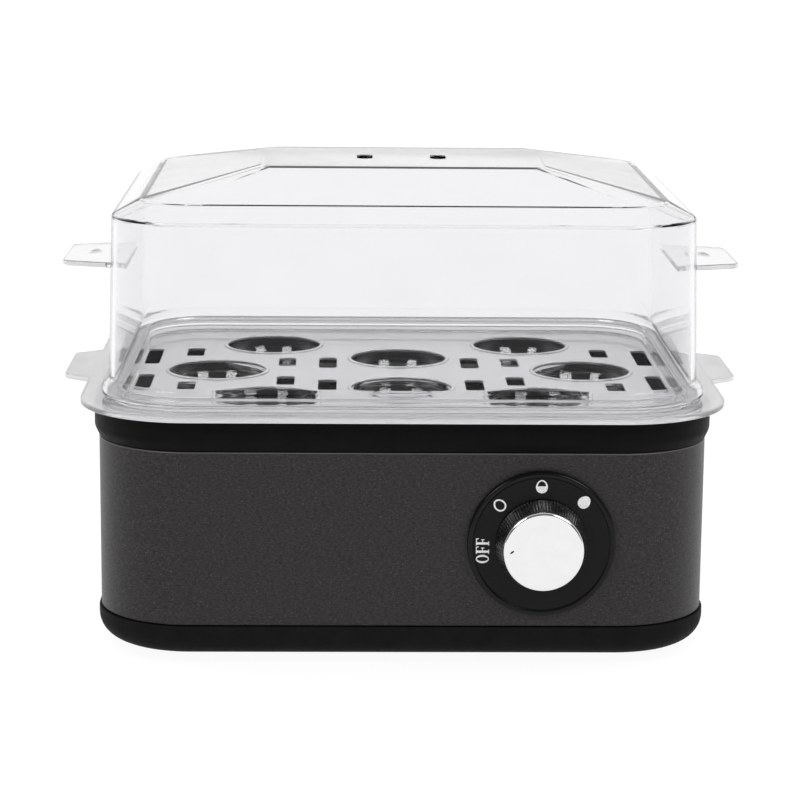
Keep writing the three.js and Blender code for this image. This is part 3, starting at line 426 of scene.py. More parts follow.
def combined(target, other, operation):
    """The boolean of two bmeshes as a new bmesh."""
    objects = []
    for bm in (target, other):
        mesh = bpy.data.meshes.new("operand")
        bm.to_mesh(mesh)
        bm.free()
        obj = bpy.data.objects.new("operand", mesh)
        bpy.context.scene.collection.objects.link(obj)
        objects.append(obj)
    modifier = objects[0].modifiers.new("boolean", "BOOLEAN")
    modifier.operation = operation
    modifier.solver = "EXACT"
    modifier.object = objects[1]
    graph = bpy.context.evaluated_depsgraph_get()
    result = bmesh.new()
    result.from_mesh(objects[0].evaluated_get(graph).to_mesh())
    for obj in objects:
        mesh = obj.data
        bpy.data.objects.remove(obj)
        bpy.data.meshes.remove(mesh)
    return result


def placed(name, bm, material, body, nodes=(), sharp=SHARP_ANGLE):
    """Makes a piece from a bmesh in millimetres, puts it on its body and hides the CAD nodes that
    it stands for.
    """
    bmesh.ops.scale(bm, vec=(MM, MM, MM), verts=bm.verts)
    mesh = bpy.data.meshes.new(name)
    bm.to_mesh(mesh)
    bm.free()
    mesh.shade_smooth()
    mesh.set_sharp_from_angle(angle=math.radians(sharp))
    obj = bpy.data.objects.new(name, mesh)
    bpy.context.scene.collection.objects.link(obj)
    obj.data.materials.append(material)
    weighted = obj.modifiers.new("weighted_normals", "WEIGHTED_NORMAL")
    weighted.keep_sharp = True
    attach(obj, body)
    if nodes:
        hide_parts(*nodes)
    return obj


def second_material(obj, material, chosen):
    """Gives a second material to the faces whose middle, in millimetres, is chosen."""
    obj.data.materials.append(material)
    for face in obj.data.polygons:
        if chosen(*(face.center / MM)):
            face.material_index = 1


# Material helpers

# The span that most of a noise lies in
NOISE_LOW = 0.3
NOISE_HIGH = 0.7

# Frost: how much of the transmission it takes, how far it fades, and how level a face is
TAB_FROST = 0.7
DECK_FROST = 0.8
FROST_BLUR = 0.1
FROST_UNDER = 0.3
FROST_OVER = 0.1
FROST_TOP = 0.2
TAB_SLOPES = (0.8, 0.95)
DECK_SLOPES = (0.93, 0.98)

# Moulded plastic: mottling, rubbed edges, and roughness in patches of the grain
MOTTLE_SIZE = 9
MOTTLE_DARK = 0.85
MOTTLE_LIGHT = 1.2
RUBBED_LIGHT = 1.9
RUBBED_FROM = 0.52
RUBBED_TO = 0.6
GRAIN_PATCH = 6
ROUGH_BELOW = 0.06
ROUGH_ABOVE = 0.08

# How much a clear moulding darkens in patches
TINT_DIP = 0.985

# Colours
BLACK = (0, 0, 0)
WHITE = (1, 1, 1)
PALE_FLAKE = (0.8, 0.8, 0.8)
PAINT_DARK = (0.0075, 0.0065, 0.0065)
PAINT_LIGHT = (0.032, 0.0285, 0.0285)
PAINT_FLAKE = (0.085, 0.08, 0.08)
PAINT_RUBBED_AND_HIGHLIGHT = (0.12, 0.115, 0.115)
COATING_DARK = (0.003, 0.003, 0.0035)
COATING_LIGHT = (0.007, 0.0065, 0.007)
COATING_GRAIN = (0.11, 0.11, 0.11)
INK_THIN = (0.62, 0.62, 0.63)
INK_THICK = (0.86, 0.86, 0.87)
PAPER_DARK = (0.2, 0.2, 0.2)
PAPER_LIGHT = (0.21, 0.21, 0.21)

# Places of the colour sockets on a mix node
MIX_FIRST = 6
MIX_SECOND = 7
MIX_RESULT = 2


class Surface:
    """A Principled material with procedural inputs in the piece's own coordinates."""

    def __init__(self, name, **sockets):
        self.material = bpy.data.materials.new(name)
        self.material.use_nodes = True
        self.tree = self.material.node_tree
        self.shader = self.tree.nodes["Principled BSDF"]
        self.place = self.tree.nodes.new("ShaderNodeTexCoord").outputs["Object"]
        for socket, value in sockets.items():
            self.shader.inputs[socket.replace("_", " ")].default_value = value

    def link(self, source, target):
        self.tree.links.new(source, target)

    def stretched(self, scale):
        """The place with a scale along each axis."""
        node = self.tree.nodes.new("ShaderNodeMapping")
        node.inputs["Scale"].default_value = scale
        self.link(self.place, node.inputs["Vector"])
        return node.outputs["Vector"]

    def noise(self, size, detail=3.0, roughness=0.55, stretch=None):
        """Noise with features of a given size in millimetres."""
        node = self.tree.nodes.new("ShaderNodeTexNoise")
        node.inputs["Scale"].default_value = 1 / (size * MM)
        node.inputs["Detail"].default_value = detail
        node.inputs["Roughness"].default_value = roughness
        self.link(self.stretched(stretch) if stretch else self.place, node.inputs["Vector"])
        return node.outputs["Fac"]

    def cells(self, size):
        """Cells of random colours, of a given size in millimetres."""
        node = self.tree.nodes.new("ShaderNodeTexVoronoi")
        node.inputs["Scale"].default_value = 1 / (size * MM)
        self.link(self.place, node.inputs["Vector"])
        return node.outputs["Color"]

    def shades(self, source, first, last, low=NOISE_LOW, high=NOISE_HIGH):
        """Colours from the first at a low value to the last at a high one."""
        node = self.tree.nodes.new("ShaderNodeValToRGB")
        for element, place, colour in zip(node.color_ramp.elements, (low, high), (first, last)):
            element.position = place
            element.color = (*colour, 1)
        self.link(source, node.inputs["Fac"])
        return node.outputs["Color"]

    def between(self, source, low, high, start=NOISE_LOW, end=NOISE_HIGH):
        """A value mapped from start..end to low..high."""
        node = self.tree.nodes.new("ShaderNodeMapRange")
        node.inputs["From Min"].default_value = start
        node.inputs["From Max"].default_value = end
        node.inputs["To Min"].default_value = low
        node.inputs["To Max"].default_value = high
        self.link(source, node.inputs["Value"])
        return node.outputs["Result"]

    def parts(self, vector):
        """The X, Y and Z outputs of a vector."""
        node = self.tree.nodes.new("ShaderNodeSeparateXYZ")
        self.link(vector, node.inputs["Vector"])
        return node.outputs

    def maths(self, operation, *values):
        """The result of one operation on outputs."""
        node = self.tree.nodes.new("ShaderNodeMath")
        node.operation = operation
        for value, socket in zip(values, node.inputs):
            self.link(value, socket)
        return node.outputs["Value"]

    def mixed(self, factor, first, second):
        """Two colours mixed by a factor. Each is a colour or an output."""
        node = self.tree.nodes.new("ShaderNodeMix")
        node.data_type = "RGBA"
        self.link(factor, node.inputs["Factor"])
        sockets = (node.inputs[MIX_FIRST], node.inputs[MIX_SECOND])
        for value, socket in zip((first, second), sockets):
            if isinstance(value, tuple):
                socket.default_value = (*value, 1)
            else:
                self.link(value, socket)
        return node.outputs[MIX_RESULT]

    def worn_edge(self, low, high):
        """A mask of convex edges."""
        node = self.tree.nodes.new("ShaderNodeNewGeometry")
        return self.between(node.outputs["Pointiness"], 0, 1, start=low, end=high)

    def bump(self, height, depth, strength=0.6):
        """Relief of a given depth in millimetres."""
        node = self.tree.nodes.new("ShaderNodeBump")
        node.inputs["Strength"].default_value = strength
        node.inputs["Distance"].default_value = depth * MM
        self.link(height, node.inputs["Height"])
        self.link(node.outputs["Normal"], self.shader.inputs["Normal"])

    def colour(self, source):
        self.link(source, self.shader.inputs["Base Color"])

    def rough(self, source):
        self.link(source, self.shader.inputs["Roughness"])


def tinted(colour, factor):
    """A colour made darker or lighter."""
    return tuple(min(1.0, value * factor) for value in colour)


def moulded(name, colour, roughness, grain, relief, specular):
    """Plastic or rubber straight from a mould: fine grain, faint mottling and rubbed edges."""
    look = Surface(name, Specular_IOR_Level=specular)
    dark, light = tinted(colour, MOTTLE_DARK), tinted(colour, MOTTLE_LIGHT)
    mottle = look.shades(look.noise(MOTTLE_SIZE), dark, light)
    rubbed = look.worn_edge(RUBBED_FROM, RUBBED_TO)
    look.colour(look.mixed(rubbed, mottle, tinted(colour, RUBBED_LIGHT)))
    patches = look.noise(grain * GRAIN_PATCH, detail=4)
    look.rough(look.between(patches, roughness - ROUGH_BELOW, roughness + ROUGH_ABOVE))
    look.bump(look.noise(grain, detail=2), relief)
    return look.material


def band_paint():
    """Dark warm-grey metallic paint over a fine hammered sheet, with flakes and a lighter top edge:
    rubbed paint and a painted highlight.
    """
    look = Surface("band_paint", Metallic=0.25, Coat_Weight=0.1, Coat_Roughness=0.3,
                   Specular_IOR_Level=0.3)
    hammered = look.noise(size=0.9, detail=4, roughness=0.75, stretch=(0.6, 0.6, 1.4))
    mottle = look.shades(hammered, PAINT_DARK, PAINT_LIGHT, low=0.35, high=0.65)
    flakes = look.shades(look.cells(size=0.35), BLACK, PALE_FLAKE, low=0.8, high=0.97)
    painted = look.mixed(flakes, mottle, PAINT_FLAKE)
    # The strip just under the top edge is painted lighter: partly rubbed paint, partly a painted
    # highlight where the edge catches the light.
    edge = BAND_HIGH.z - BAND_EDGE
    rubbed = look.between(look.parts(look.place)["Z"], low=0, high=0.8,
                          start=edge * MM, end=(BAND_HIGH.z - BAND_EDGE / 2) * MM)
    look.colour(look.mixed(rubbed, painted, PAINT_RUBBED_AND_HIGHLIGHT))
    look.rough(look.between(look.noise(size=0.7, detail=3), low=0.36, high=0.54))
    look.bump(look.noise(size=0.9, detail=3, roughness=0.6), depth=0.05)
    return look.material


def clear_plastic(name, tint, index, tab, deck=None):
    """Clear polished moulding with the faintest flow ripple. The edges of its tabs, beyond a
    distance from the middle, and a deck between two heights are frosted."""
    look = Surface(name, Transmission_Weight=1.0, IOR=index)
    look.colour(look.shades(look.noise(size=30), tint, tinted(tint, TINT_DIP)))
    look.rough(look.between(look.noise(size=6, detail=4), low=0.01, high=0.045))
    look.bump(look.noise(size=22, detail=1), depth=0.05, strength=0.25)
    place = look.parts(look.place)
    x, z = place["X"], place["Z"]
    facing = look.parts(look.tree.nodes.new("ShaderNodeNewGeometry").outputs["True Normal"])
    slope = look.maths("ABSOLUTE", facing["Z"])

    def step(source, low, high, at):
        """A value that goes from low to high across a place in millimetres."""
        return look.between(source, low, high, (at - FROST_BLUR) * MM, (at + FROST_BLUR) * MM)

    beyond = step(look.maths("ABSOLUTE", x), 0, TAB_FROST, tab)
    frosted = look.maths("MULTIPLY", beyond, look.between(slope, 1, 0, *TAB_SLOPES))
    if deck:
        low, high, top = deck
        within = look.maths("MULTIPLY", step(z, 0, 1, low), step(z, DECK_FROST, 0, top))
        flat = look.between(slope, 0, 1, *DECK_SLOPES)
        flat_or_bead = look.maths("MAXIMUM", flat, step(z, 0, 1, high))
        frosted = look.maths("MAXIMUM", frosted, look.maths("MULTIPLY", within, flat_or_bead))
    clear = look.between(frosted, 1, 0, start=0, end=1)
    look.link(clear, look.shader.inputs["Transmission Weight"])
    return look.material


def plate_coating():
    """Dark non-stick coating with pale grains."""
    look = Surface("plate_coating", Specular_IOR_Level=0.1)
    grains = look.shades(look.cells(size=0.45), BLACK, WHITE, low=0.86, high=0.98)
    base = look.shades(look.noise(size=4), COATING_DARK, COATING_LIGHT)
    look.colour(look.mixed(grains, base, COATING_GRAIN))
    look.rough(look.between(look.noise(size=1.5, detail=3), low=0.24, high=0.36))
    look.bump(look.noise(size=0.9, detail=2), depth=0.03)
    return look.material


def metal(name, colour, rough_low, rough_high, stretch=(1, 1, 1), grain=2.0, contrast=0.1):
    """Plated or drawn metal with fine streaks."""
    look = Surface(name, Metallic=1.0)
    streak = look.noise(grain, detail=5, roughness=0.6, stretch=stretch)
    look.colour(look.shades(streak, tinted(colour, 1 - contrast), tinted(colour, 1 + contrast)))
    look.rough(look.between(streak, rough_low, rough_high))
    scratches = look.noise(grain / 2, detail=3, roughness=0.5, stretch=stretch)
    look.bump(scratches, depth=0.008, strength=0.4)
    return look.material


def printed_ink():
    """White screen-printed ink, slightly uneven."""
    look = Surface("white_ink", Specular_IOR_Level=0.3)
    cover = look.noise(size=0.5, detail=3)
    look.colour(look.shades(cover, INK_THIN, INK_THICK, low=0.35, high=0.6))
    look.rough(look.between(look.noise(size=0.4, detail=2), low=0.45, high=0.6))
    look.bump(look.noise(size=0.3, detail=2), depth=0.01)
    return look.material


def floor_paper():
    """White lit table with a very fine tooth."""
    look = Surface("studio_paper", Specular_IOR_Level=0.0, Emission_Color=(*WHITE, 1),
                   Emission_Strength=0.94)
    look.colour(look.shades(look.noise(size=60), PAPER_DARK, PAPER_LIGHT))
    look.rough(look.between(look.noise(size=3, detail=3), low=0.75, high=0.9))
    look.bump(look.noise(size=1.2, detail=2), depth=0.02)
    return look.material


BLACK_PLASTIC = moulded("black_plastic", (0.004, 0.0036, 0.004),
                        roughness=0.5, grain=0.35, relief=0.02, specular=0.06)
PAN_PLASTIC = moulded("pan_plastic", (0.008, 0.0075, 0.008),
                      roughness=0.6, grain=0.35, relief=0.02, specular=0.04)
GLOSS_BLACK = moulded("gloss_black", (0.004, 0.004, 0.0045),
                      roughness=0.24, grain=0.9, relief=0.004, specular=0.14)
RIM_BLACK = moulded("rim_black", (0.002, 0.002, 0.0022),
                    roughness=0.2, grain=0.9, relief=0.004, specular=0.2)
RUBBER = moulded("rubber", (0.011, 0.011, 0.0115),
                 roughness=0.8, grain=0.5, relief=0.04, specular=0.3)
SILICONE = moulded("silicone", (0.45, 0.45, 0.44),
                   roughness=0.7, grain=0.6, relief=0.03, specular=0.4)
RESIN = moulded("heat_resin", (0.66, 0.6, 0.5),
                roughness=0.6, grain=0.5, relief=0.03, specular=0.4)
BAND_PAINT = band_paint()
LID_PLASTIC = clear_plastic("clear_lid", (0.915, 0.915, 0.925), index=1.22, tab=HALF_X)
TRAY_PLASTIC = clear_plastic(
    "clear_tray", (0.96, 0.955, 0.965), index=1.45, tab=HALF_X + FLANGE_REACH,
    deck=(TRAY_DECK - DECK_THICK - FROST_UNDER, TRAY_DECK + FROST_OVER,
          TRAY_DECK + CUP_BEAD_RISE + FROST_TOP),
)
PLATE_COATING = plate_coating()
STEEL = metal("plated_steel", (0.56, 0.57, 0.58),
              rough_low=0.25, rough_high=0.42, stretch=(1, 1, 14))
DARK_CHROME = metal("dark_chrome", (0.26, 0.26, 0.265),
                    rough_low=0.24, rough_high=0.34, grain=3.0)
BRIGHT_CHROME = metal("bright_chrome", (0.82, 0.82, 0.825),
                      rough_low=0.1, rough_high=0.14, grain=5.0, contrast=0.02)
INK = printed_ink()


# Base

def make_pan():
    """Rounded bottom moulding with its lip under the band."""
    low, lip_top = PAN_LOW.z, BAND_LOW.z - SEAT_GAP
    inner = -BAND_WALL - SPIGOT_GAP
    stack = []
    for step in range(PAN_STEPS + 1):
        angle = step / PAN_STEPS * math.pi / 2
        offset = PAN_LIP - PAN_UNDERCUT * (1 - math.sin(angle))
        stack.append((offset, low + PAN_ROUND * (1 - math.cos(angle)), 0))
    stack += [
        (PAN_LIP, lip_top, PAN_LIP_EDGE),
        (inner, lip_top, HIDDEN_EASE),
        (inner, PAN_HIGH.z, HIDDEN_EASE),
        (inner - SPIGOT_WALL, PAN_HIGH.z, HIDDEN_EASE),
        (inner - SPIGOT_WALL, low + PAN_ROUND, PAN_INNER_EASE),
        (PAN_LIP - PAN_UNDERCUT, low + PAN_FLOOR, 0),
    ]
    pan = banded(stack, False)
    placed("pan", pan, PAN_PLASTIC, "base", ("bottom_tray",))


def make_band():
    """Painted sheet band round the base."""
    profile = (
        (0, BAND_LOW.z, BAND_EDGE),
        (0, BAND_HIGH.z, BAND_EDGE),
        (-BAND_WALL, BAND_HIGH.z, HIDDEN_EASE),
        (-BAND_WALL, BAND_LOW.z, HIDDEN_EASE),
    )
    placed("band", banded(profile), BAND_PAINT, "base", ("housing_band",))


def make_collar():
    """Top moulding with the sloping basin that the plate hangs in."""
    bottom, top = BAND_HIGH.z + SEAT_GAP, COLLAR_HIGH.z
    basin = top - BASIN_DROP
    seat = basin - BASIN_FALL - BASIN_WALL
    outer = -BAND_WALL - SPIGOT_GAP
    inner = outer - COLLAR_SPIGOT_WALL
    profile = (
        (COLLAR_LIP, top, COLLAR_EDGE),
        (COLLAR_LIP, bottom + COLLAR_CHAMFER, COLLAR_LIP_EASE),
        (0, bottom, SOFT_EASE),
        (outer, bottom, HIDDEN_EASE),
        (outer, bottom - COLLAR_SPIGOT, HIDDEN_EASE),
        (inner, bottom - COLLAR_SPIGOT, HIDDEN_EASE),
        (inner, top - COLLAR_TOP_WALL, HIDDEN_EASE),
        (-BASIN_INSET + BASIN_WALL, top - COLLAR_TOP_WALL, HIDDEN_EASE),
        (-BASIN_INSET + BASIN_WALL, seat, BASIN_SEAT_EASE),
        (-OPENING_INSET, seat, HIDDEN_EASE),
        (-OPENING_INSET, basin - BASIN_FALL, BASIN_MOUTH_EASE),
        (-BASIN_INSET, basin, BASIN_FILLET),
        (-BASIN_INSET, top, COLLAR_EDGE),
    )
    placed("collar", banded(profile), BLACK_PLASTIC, "base", ("top_collar",))


def make_plate():
    """Heating plate: shallow coated dish with its flange."""
    top, under = PLATE_HIGH.z, PLATE_HIGH.z - PLATE_DEPTH
    wall = -PLATE_INSET
    stack = [
        (wall - PLATE_FILLET * 2, under + PLATE_SHEET, 0),
        (wall, under + PLATE_SHEET, PLATE_FILLET),
        (wall, top, PLATE_RIM_EASE),
        (wall + PLATE_FLANGE, top, SOFT_EASE),
        (wall + PLATE_FLANGE, top - PLATE_SHEET, SOFT_EASE),
        (wall + PLATE_SHEET, top - PLATE_SHEET, PLATE_BEND_EASE),
        (wall + PLATE_SHEET, under, PLATE_FILLET + PLATE_SHEET),
        (wall - PLATE_FILLET * 2, under, 0),
    ]
    plate = banded(stack, False)
    placed("hot_plate", plate, PLATE_COATING, "base", ("heating_plate",))


# Egg tray and lid

def handle(root, edge, low):
    """Flat tab on the right that widens towards its root, with a shallow thumb hollow."""
    reach, half = HANDLE_REACH, HANDLE_HALF
    wide = half + HANDLE_FLARE
    outline = filleted((
        (root, -wide - HANDLE_FILLET, 0),
        (edge, -wide - HANDLE_FILLET, 0),
        (edge, -wide, HANDLE_FILLET),
        (reach, -half, HANDLE_CORNER),
        (reach, half, HANDLE_CORNER),
        (edge, wide, HANDLE_FILLET),
        (edge, wide + HANDLE_FILLET, 0),
        (root, wide + HANDLE_FILLET, 0),
    ), True)
    top = low + HANDLE_THICK
    edges = filleted((
        (HANDLE_EDGE * 2, low, 0),
        (0, low, HANDLE_EDGE),
        (0, top, HANDLE_EDGE),
        (HANDLE_EDGE * 2, top, 0),
    ), False)
    rings = []
    for inset, z in edges:
        long = (reach - inset - root) / (reach - root)
        across = (half - inset) / half
        rings.append([
            Vector((root + (x - root) * long, MIDDLE_Y + y * across, z)) for x, y in outline
        ])
    radius = bowl_radius(THUMB_WIDTH / 2, THUMB_DEPTH)
    place = ((edge + reach) / 2, MIDDLE_Y, top - THUMB_DEPTH + radius)
    hollow = moved(ball(radius, (1, THUMB_LENGTH / THUMB_WIDTH, 1)), Matrix.Translation(place))
    return combined(skin(rings, False), hollow, "DIFFERENCE")


def both_sides(bm):
    """A bmesh and its mirror image across X = 0."""
    mirror = bm.copy()
    bmesh.ops.scale(mirror, vec=(-1, 1, 1), verts=mirror.verts)
    bmesh.ops.reverse_faces(mirror, faces=mirror.faces)
    return united(bm, mirror)


def egg_cup(x, y, deck):
    """Open cup: a round bowl wall with a bead round its mouth."""
    profile = []
    for step in range(ARC_STEPS + 1):
        share = step / ARC_STEPS
        narrow = (1 - math.cos(share * CUP_SWEEP)) / (1 - math.cos(CUP_SWEEP))
        radius = CUP_RADIUS - (CUP_RADIUS - CUP_FOOT_RADIUS) * narrow
        profile.append((radius, deck - CUP_DEPTH * share, 0))
    profile += [
        (CUP_FOOT_RADIUS + CUP_WALL, deck - CUP_DEPTH, CUP_FOOT_EASE),
        (CUP_RADIUS + CUP_BEAD, deck - DECK_THICK, 0),
        (CUP_RADIUS + CUP_BEAD, deck, 0),
        (CUP_RADIUS + CUP_BEAD - CUP_BEAD_SLOPE, deck + CUP_BEAD_RISE, SOFT_EASE),
        (CUP_RADIUS + CUP_MOUTH_STEP, deck + CUP_BEAD_RISE, SOFT_EASE),
    ]
    return moved(hoop(profile, CUP_SIDES), Matrix.Translation((x, MIDDLE_Y + y, 0)))


def tray_cutters(under, deck):
    """Cutters for the slots, and for the deck inside each cup."""
    cutters = []
    low, high = under - CUT_OVERRUN, deck + CUT_OVERRUN
    for width, length, x, rear, front, corner in SLOTS:
        for side in (-1, 1):
            for y in (rear, front):
                place = (side * x, y)
                cutters.append(slot_cutter(width, length, corner, place, low, deck, SLOT_EDGE))
    radius = CUP_RADIUS + CUP_CUT_MARGIN
    for x, y in CUP_PLACES:
        drum = turned(((0, low, 0), (radius, low, 0), (radius, high, 0), (0, high, 0)), CUP_SIDES)
        cutters.append(moved(drum, Matrix.Translation((x, MIDDLE_Y + y, 0))))
    return united(*cutters)


def make_tray():
    """Egg tray: flange, ledge and rim for the lid, sunk deck, eight cups and two side tabs."""
    bottom = COLLAR_HIGH.z + SEAT_GAP
    top = bottom + FLANGE_THICK
    deck = bottom - DECK_DROP
    under = deck - DECK_THICK
    ledge, rim = top + LEDGE_RISE, TRAY_HIGH.z
    face = -RIM_INSET - RIM_WALL
    plug = -BASIN_INSET - SPIGOT_GAP
    profile = (
        (face - DECK_FILLET * 2, deck, 0),
        (face, deck, DECK_FILLET),
        (face, rim, RIM_EDGE),
        (-RIM_INSET, rim, RIM_EDGE),
        (-RIM_INSET, ledge, SOFT_EASE),
        (-LEDGE_INSET, ledge, LEDGE_EDGE),
        (-LEDGE_INSET, top, SOFT_EASE),
        (FLANGE_REACH, top, FLANGE_EDGE),
        (FLANGE_REACH, bottom, FLANGE_EDGE),
        (plug, bottom, HIDDEN_EASE),
        (plug, under, 0),
    )
    tray = combined(banded(profile, False), tray_cutters(under, deck), "DIFFERENCE")
    cups = united(*[egg_cup(x, y, deck) for x, y in CUP_PLACES])
    tray = combined(tray, cups, "UNION")
    edge = HALF_X + FLANGE_REACH - SEAT_GAP
    low = bottom + (FLANGE_THICK - HANDLE_THICK) / 2
    tray = combined(tray, both_sides(handle(edge - HANDLE_ROOT, edge, low)), "UNION")
    placed("tray", tray, TRAY_PLASTIC, "egg_tray", ("egg_tray",))


def make_lid():
    """Thin-walled lid: skirt, flared foot, tall walls, chamfered shoulder and hipped roof."""
    bottom = LID_LOW.z
    skirt = bottom + LID_SKIRT_RISE
    wall = skirt + LID_FLARE_RISE
    shoulder = bottom + LID_SHOULDER_RISE
    crease = shoulder + LID_CREASE_RISE
    top, under = LID_HIGH.z, LID_HIGH.z - LID_WALL
    inner_crease, inner_inset = crease - INNER_CREASE_DROP, LID_CREASE_INSET + INNER_CREASE_SHIFT
    shell = filleted((
        (-LID_CREASE_INSET - ROOF_RUN, crease + ROOF_RISE, 0),
        (-LID_CREASE_INSET, crease, LID_CREASE_EASE),
        (-LID_SHOULDER_INSET, shoulder, LID_SHOULDER_EASE),
        (-LID_WALL_INSET, wall, LID_WALL_EASE),
        (-LID_SKIRT_INSET, skirt, LID_FLARE_EASE),
        (-LID_SKIRT_INSET, bottom, SOFT_EASE),
        (-LID_SKIRT_INSET - LID_WALL, bottom, SOFT_EASE),
        (-LID_SKIRT_INSET - LID_WALL, skirt - INNER_FLARE_DROP, LID_FLARE_EASE),
        (-LID_WALL_INSET - LID_WALL, wall - INNER_FLARE_DROP, LID_WALL_EASE),
        (-LID_SHOULDER_INSET - LID_WALL, shoulder - INNER_SHOULDER_DROP, LID_SHOULDER_EASE),
        (-inner_inset, inner_crease, INNER_CREASE_EASE),
        (-inner_inset - ROOF_RUN, inner_crease + ROOF_RISE, 0),
    ), False)[1:-1]

    def plateau(z):
        return ring(PLATEAU_HALF_X, PLATEAU_HALF_Y, PLATEAU_CORNER, z)

    lid = skin([plateau(top)] + [level(offset, z) for offset, z in shell] + [plateau(under)], False)
    vents = [
        slot_cutter(VENT_WIDTH, VENT_LENGTH, VENT_CORNER, (side * VENT_SPACING / 2, 0),
                    under - CUT_OVERRUN, top, VENT_EDGE)
        for side in (-1, 1)
    ]
    lid = combined(lid, united(*vents), "DIFFERENCE")
    edge = HALF_X - LID_SHOULDER_INSET + LID_WALL / 2
    tabs = both_sides(handle(edge - LID_WALL, edge, bottom + LID_HANDLE_RISE))
    lid = combined(lid, tabs, "UNION")
    placed("cover", lid, LID_PLASTIC, "lid", ("lid",), LID_SHARP_ANGLE)


# Dial

def on_dial(bm):
    """From the dial's own frame, with +Z out of the front of the band, to the row frame."""
    turn = Matrix(((1, 0, 0, DIAL_X), (0, 0, -1, BAND_LOW.y), (0, 1, 0, DIAL_Z), (0, 0, 0, 1)))
    return moved(bm, turn)


def make_bezel():
    """Round dial plate with a raised rim, which has a darker material."""
    profile = (
        (BEZEL_BORE, SEAT_GAP, BEZEL_BACK_EASE),
        (BEZEL_RADIUS, SEAT_GAP, BEZEL_BACK_EASE),
        (BEZEL_RADIUS, BEZEL_FACE + BEZEL_RIM, BEZEL_RIM_EASE),
        (BEZEL_RADIUS - BEZEL_RIM_WIDTH, BEZEL_FACE + BEZEL_RIM, SOFT_EASE),
        (BEZEL_RADIUS - BEZEL_RIM_WIDTH - BEZEL_RIM_SLOPE, BEZEL_FACE, SOFT_EASE),
        (BEZEL_BORE, BEZEL_FACE, HIDDEN_EASE),
    )
    disc = on_dial(hoop(profile))
    plate = placed("dial_plate", disc, GLOSS_BLACK, "base", ("dial_bezel",))
    inner = BEZEL_RADIUS - BEZEL_RIM_WIDTH

    def on_rim(x, y, z):
        return math.hypot(x - DIAL_X, z - DIAL_Z) > inner

    second_material(plate, RIM_BLACK, on_rim)


def fluted_ring(radius, depth, z):
    """A circle with its flutes cut inwards to a given depth."""
    count = FLUTES * FLUTE_STEPS
    points = []
    for i in range(count):
        angle = 2 * math.pi * i / count
        reach = radius - depth * (1 - math.cos(angle * FLUTES)) / 2
        points.append(Vector((reach * math.cos(angle), reach * math.sin(angle), z)))
    return points


def make_knob():
    """Tapered knob body with a plain skirt and fine flutes above it."""
    base, face = KNOB_BASE, KNOB_FACE
    rows = [
        (KNOB_BASE_RADIUS - KNOB_FOOT_EASE, 0, base),
        (KNOB_BASE_RADIUS, FLUTE_DEPTH / 2, base + KNOB_FOOT_EASE),
        (KNOB_BASE_RADIUS - KNOB_SKIRT_TAPER, FLUTE_DEPTH, base + KNOB_SKIRT),
    ]
    low, high = base + KNOB_SKIRT, face - KNOB_FACE_EASE
    for step in range(1, ARC_STEPS + 1):
        share = step / ARC_STEPS
        narrow = (KNOB_BASE_RADIUS - KNOB_FOOT_EASE - KNOB_FACE_RADIUS) * share
        radius = KNOB_BASE_RADIUS - KNOB_SKIRT_TAPER - narrow
        rows.append((radius, FLUTE_DEPTH, low + (high - low) * share))
    rows += [
        (KNOB_FACE_RADIUS - KNOB_SKIRT_TAPER, 0, face),
        (CAP_PLUG_RADIUS + SPIGOT_GAP, 0, face),
        (CAP_PLUG_RADIUS + SPIGOT_GAP, 0, face - CAP_SEAT),
        (KNOB_BORE, 0, face - CAP_SEAT),
        (KNOB_BORE, 0, base),
    ]
    body = on_dial(skin([fluted_ring(*row) for row in rows], True))
    placed("knob", body, DARK_CHROME, "knob", ("knob_body",), KNOB_SHARP_ANGLE)


def make_cap():
    """Flat plated disc over the front of the knob, with its small pointer dimple, made black inside
    as painted shade in the hollow.
    """
    profile = [
        (0, CAP_BACK, 0),
        (CAP_PLUG_RADIUS, CAP_BACK, CAP_PLUG_EASE),
        (CAP_PLUG_RADIUS, KNOB_FACE + SEAT_GAP, 0),
        (KNOB_FACE_RADIUS, KNOB_FACE + SEAT_GAP, 0),
    ]
    for step in range(1, ARC_STEPS + 1):
        angle = step / ARC_STEPS * math.pi / 2
        radius = KNOB_FACE_RADIUS - CAP_EDGE * (1 - math.cos(angle))
        profile.append((radius, CAP_FRONT - CAP_EDGE * (1 - math.sin(angle)), 0))
    profile.append((0, CAP_FRONT, 0))
    radius = bowl_radius(DIMPLE_RADIUS, DIMPLE_DEPTH)
    place = (DIMPLE_INSET - KNOB_FACE_RADIUS, 0, CAP_FRONT - DIMPLE_DEPTH + radius)
    slant = Matrix.Rotation(math.radians(DIMPLE_SLANT), 4, "Z")
    dimple = moved(ball(radius, (1, DIMPLE_SLIM, 1)), Matrix.Translation(place) @ slant)
    disc = on_dial(combined(turned(profile), dimple, "DIFFERENCE"))
    cap = placed("knob_face", disc, BRIGHT_CHROME, "knob", ("knob_cap",))
    front = BAND_LOW.y - CAP_FRONT

    def in_dimple(x, y, z):
        away = math.hypot(x - DIAL_X - DIMPLE_INSET + KNOB_FACE_RADIUS, z - DIAL_Z)
        deep = front + DIMPLE_DEPTH + DIMPLE_BELOW
        return away < DIMPLE_RADIUS + DIMPLE_MARGIN and front + DIMPLE_SKIN < y < deep

    # The faces inside the dimple take the black rim material: painted shade in the hollow.
    second_material(cap, RIM_BLACK, in_dimple)


# Marks round the dial: places as degrees and reach from its middle, sizes in millimetres
MARK_PLACES = {"soft": (136.5, 22.4), "medium": (90.8, 22.75), "hard": (46.3, 23.1)}
MARK_PROUD = 0.04
EGG_HALF_WIDTH = 2.25
EGG_HALF_HEIGHT = 2.6
EGG_TAPER = 0.08
EGG_STROKE = 0.62
EGG_STEPS = 48
HALF_EGG_LIFT = 0.15
LETTER_HEIGHT = 5.0
LETTER_GAP = 0.35
OFF_DROP = -2.5
OFF_REACH = 22.6

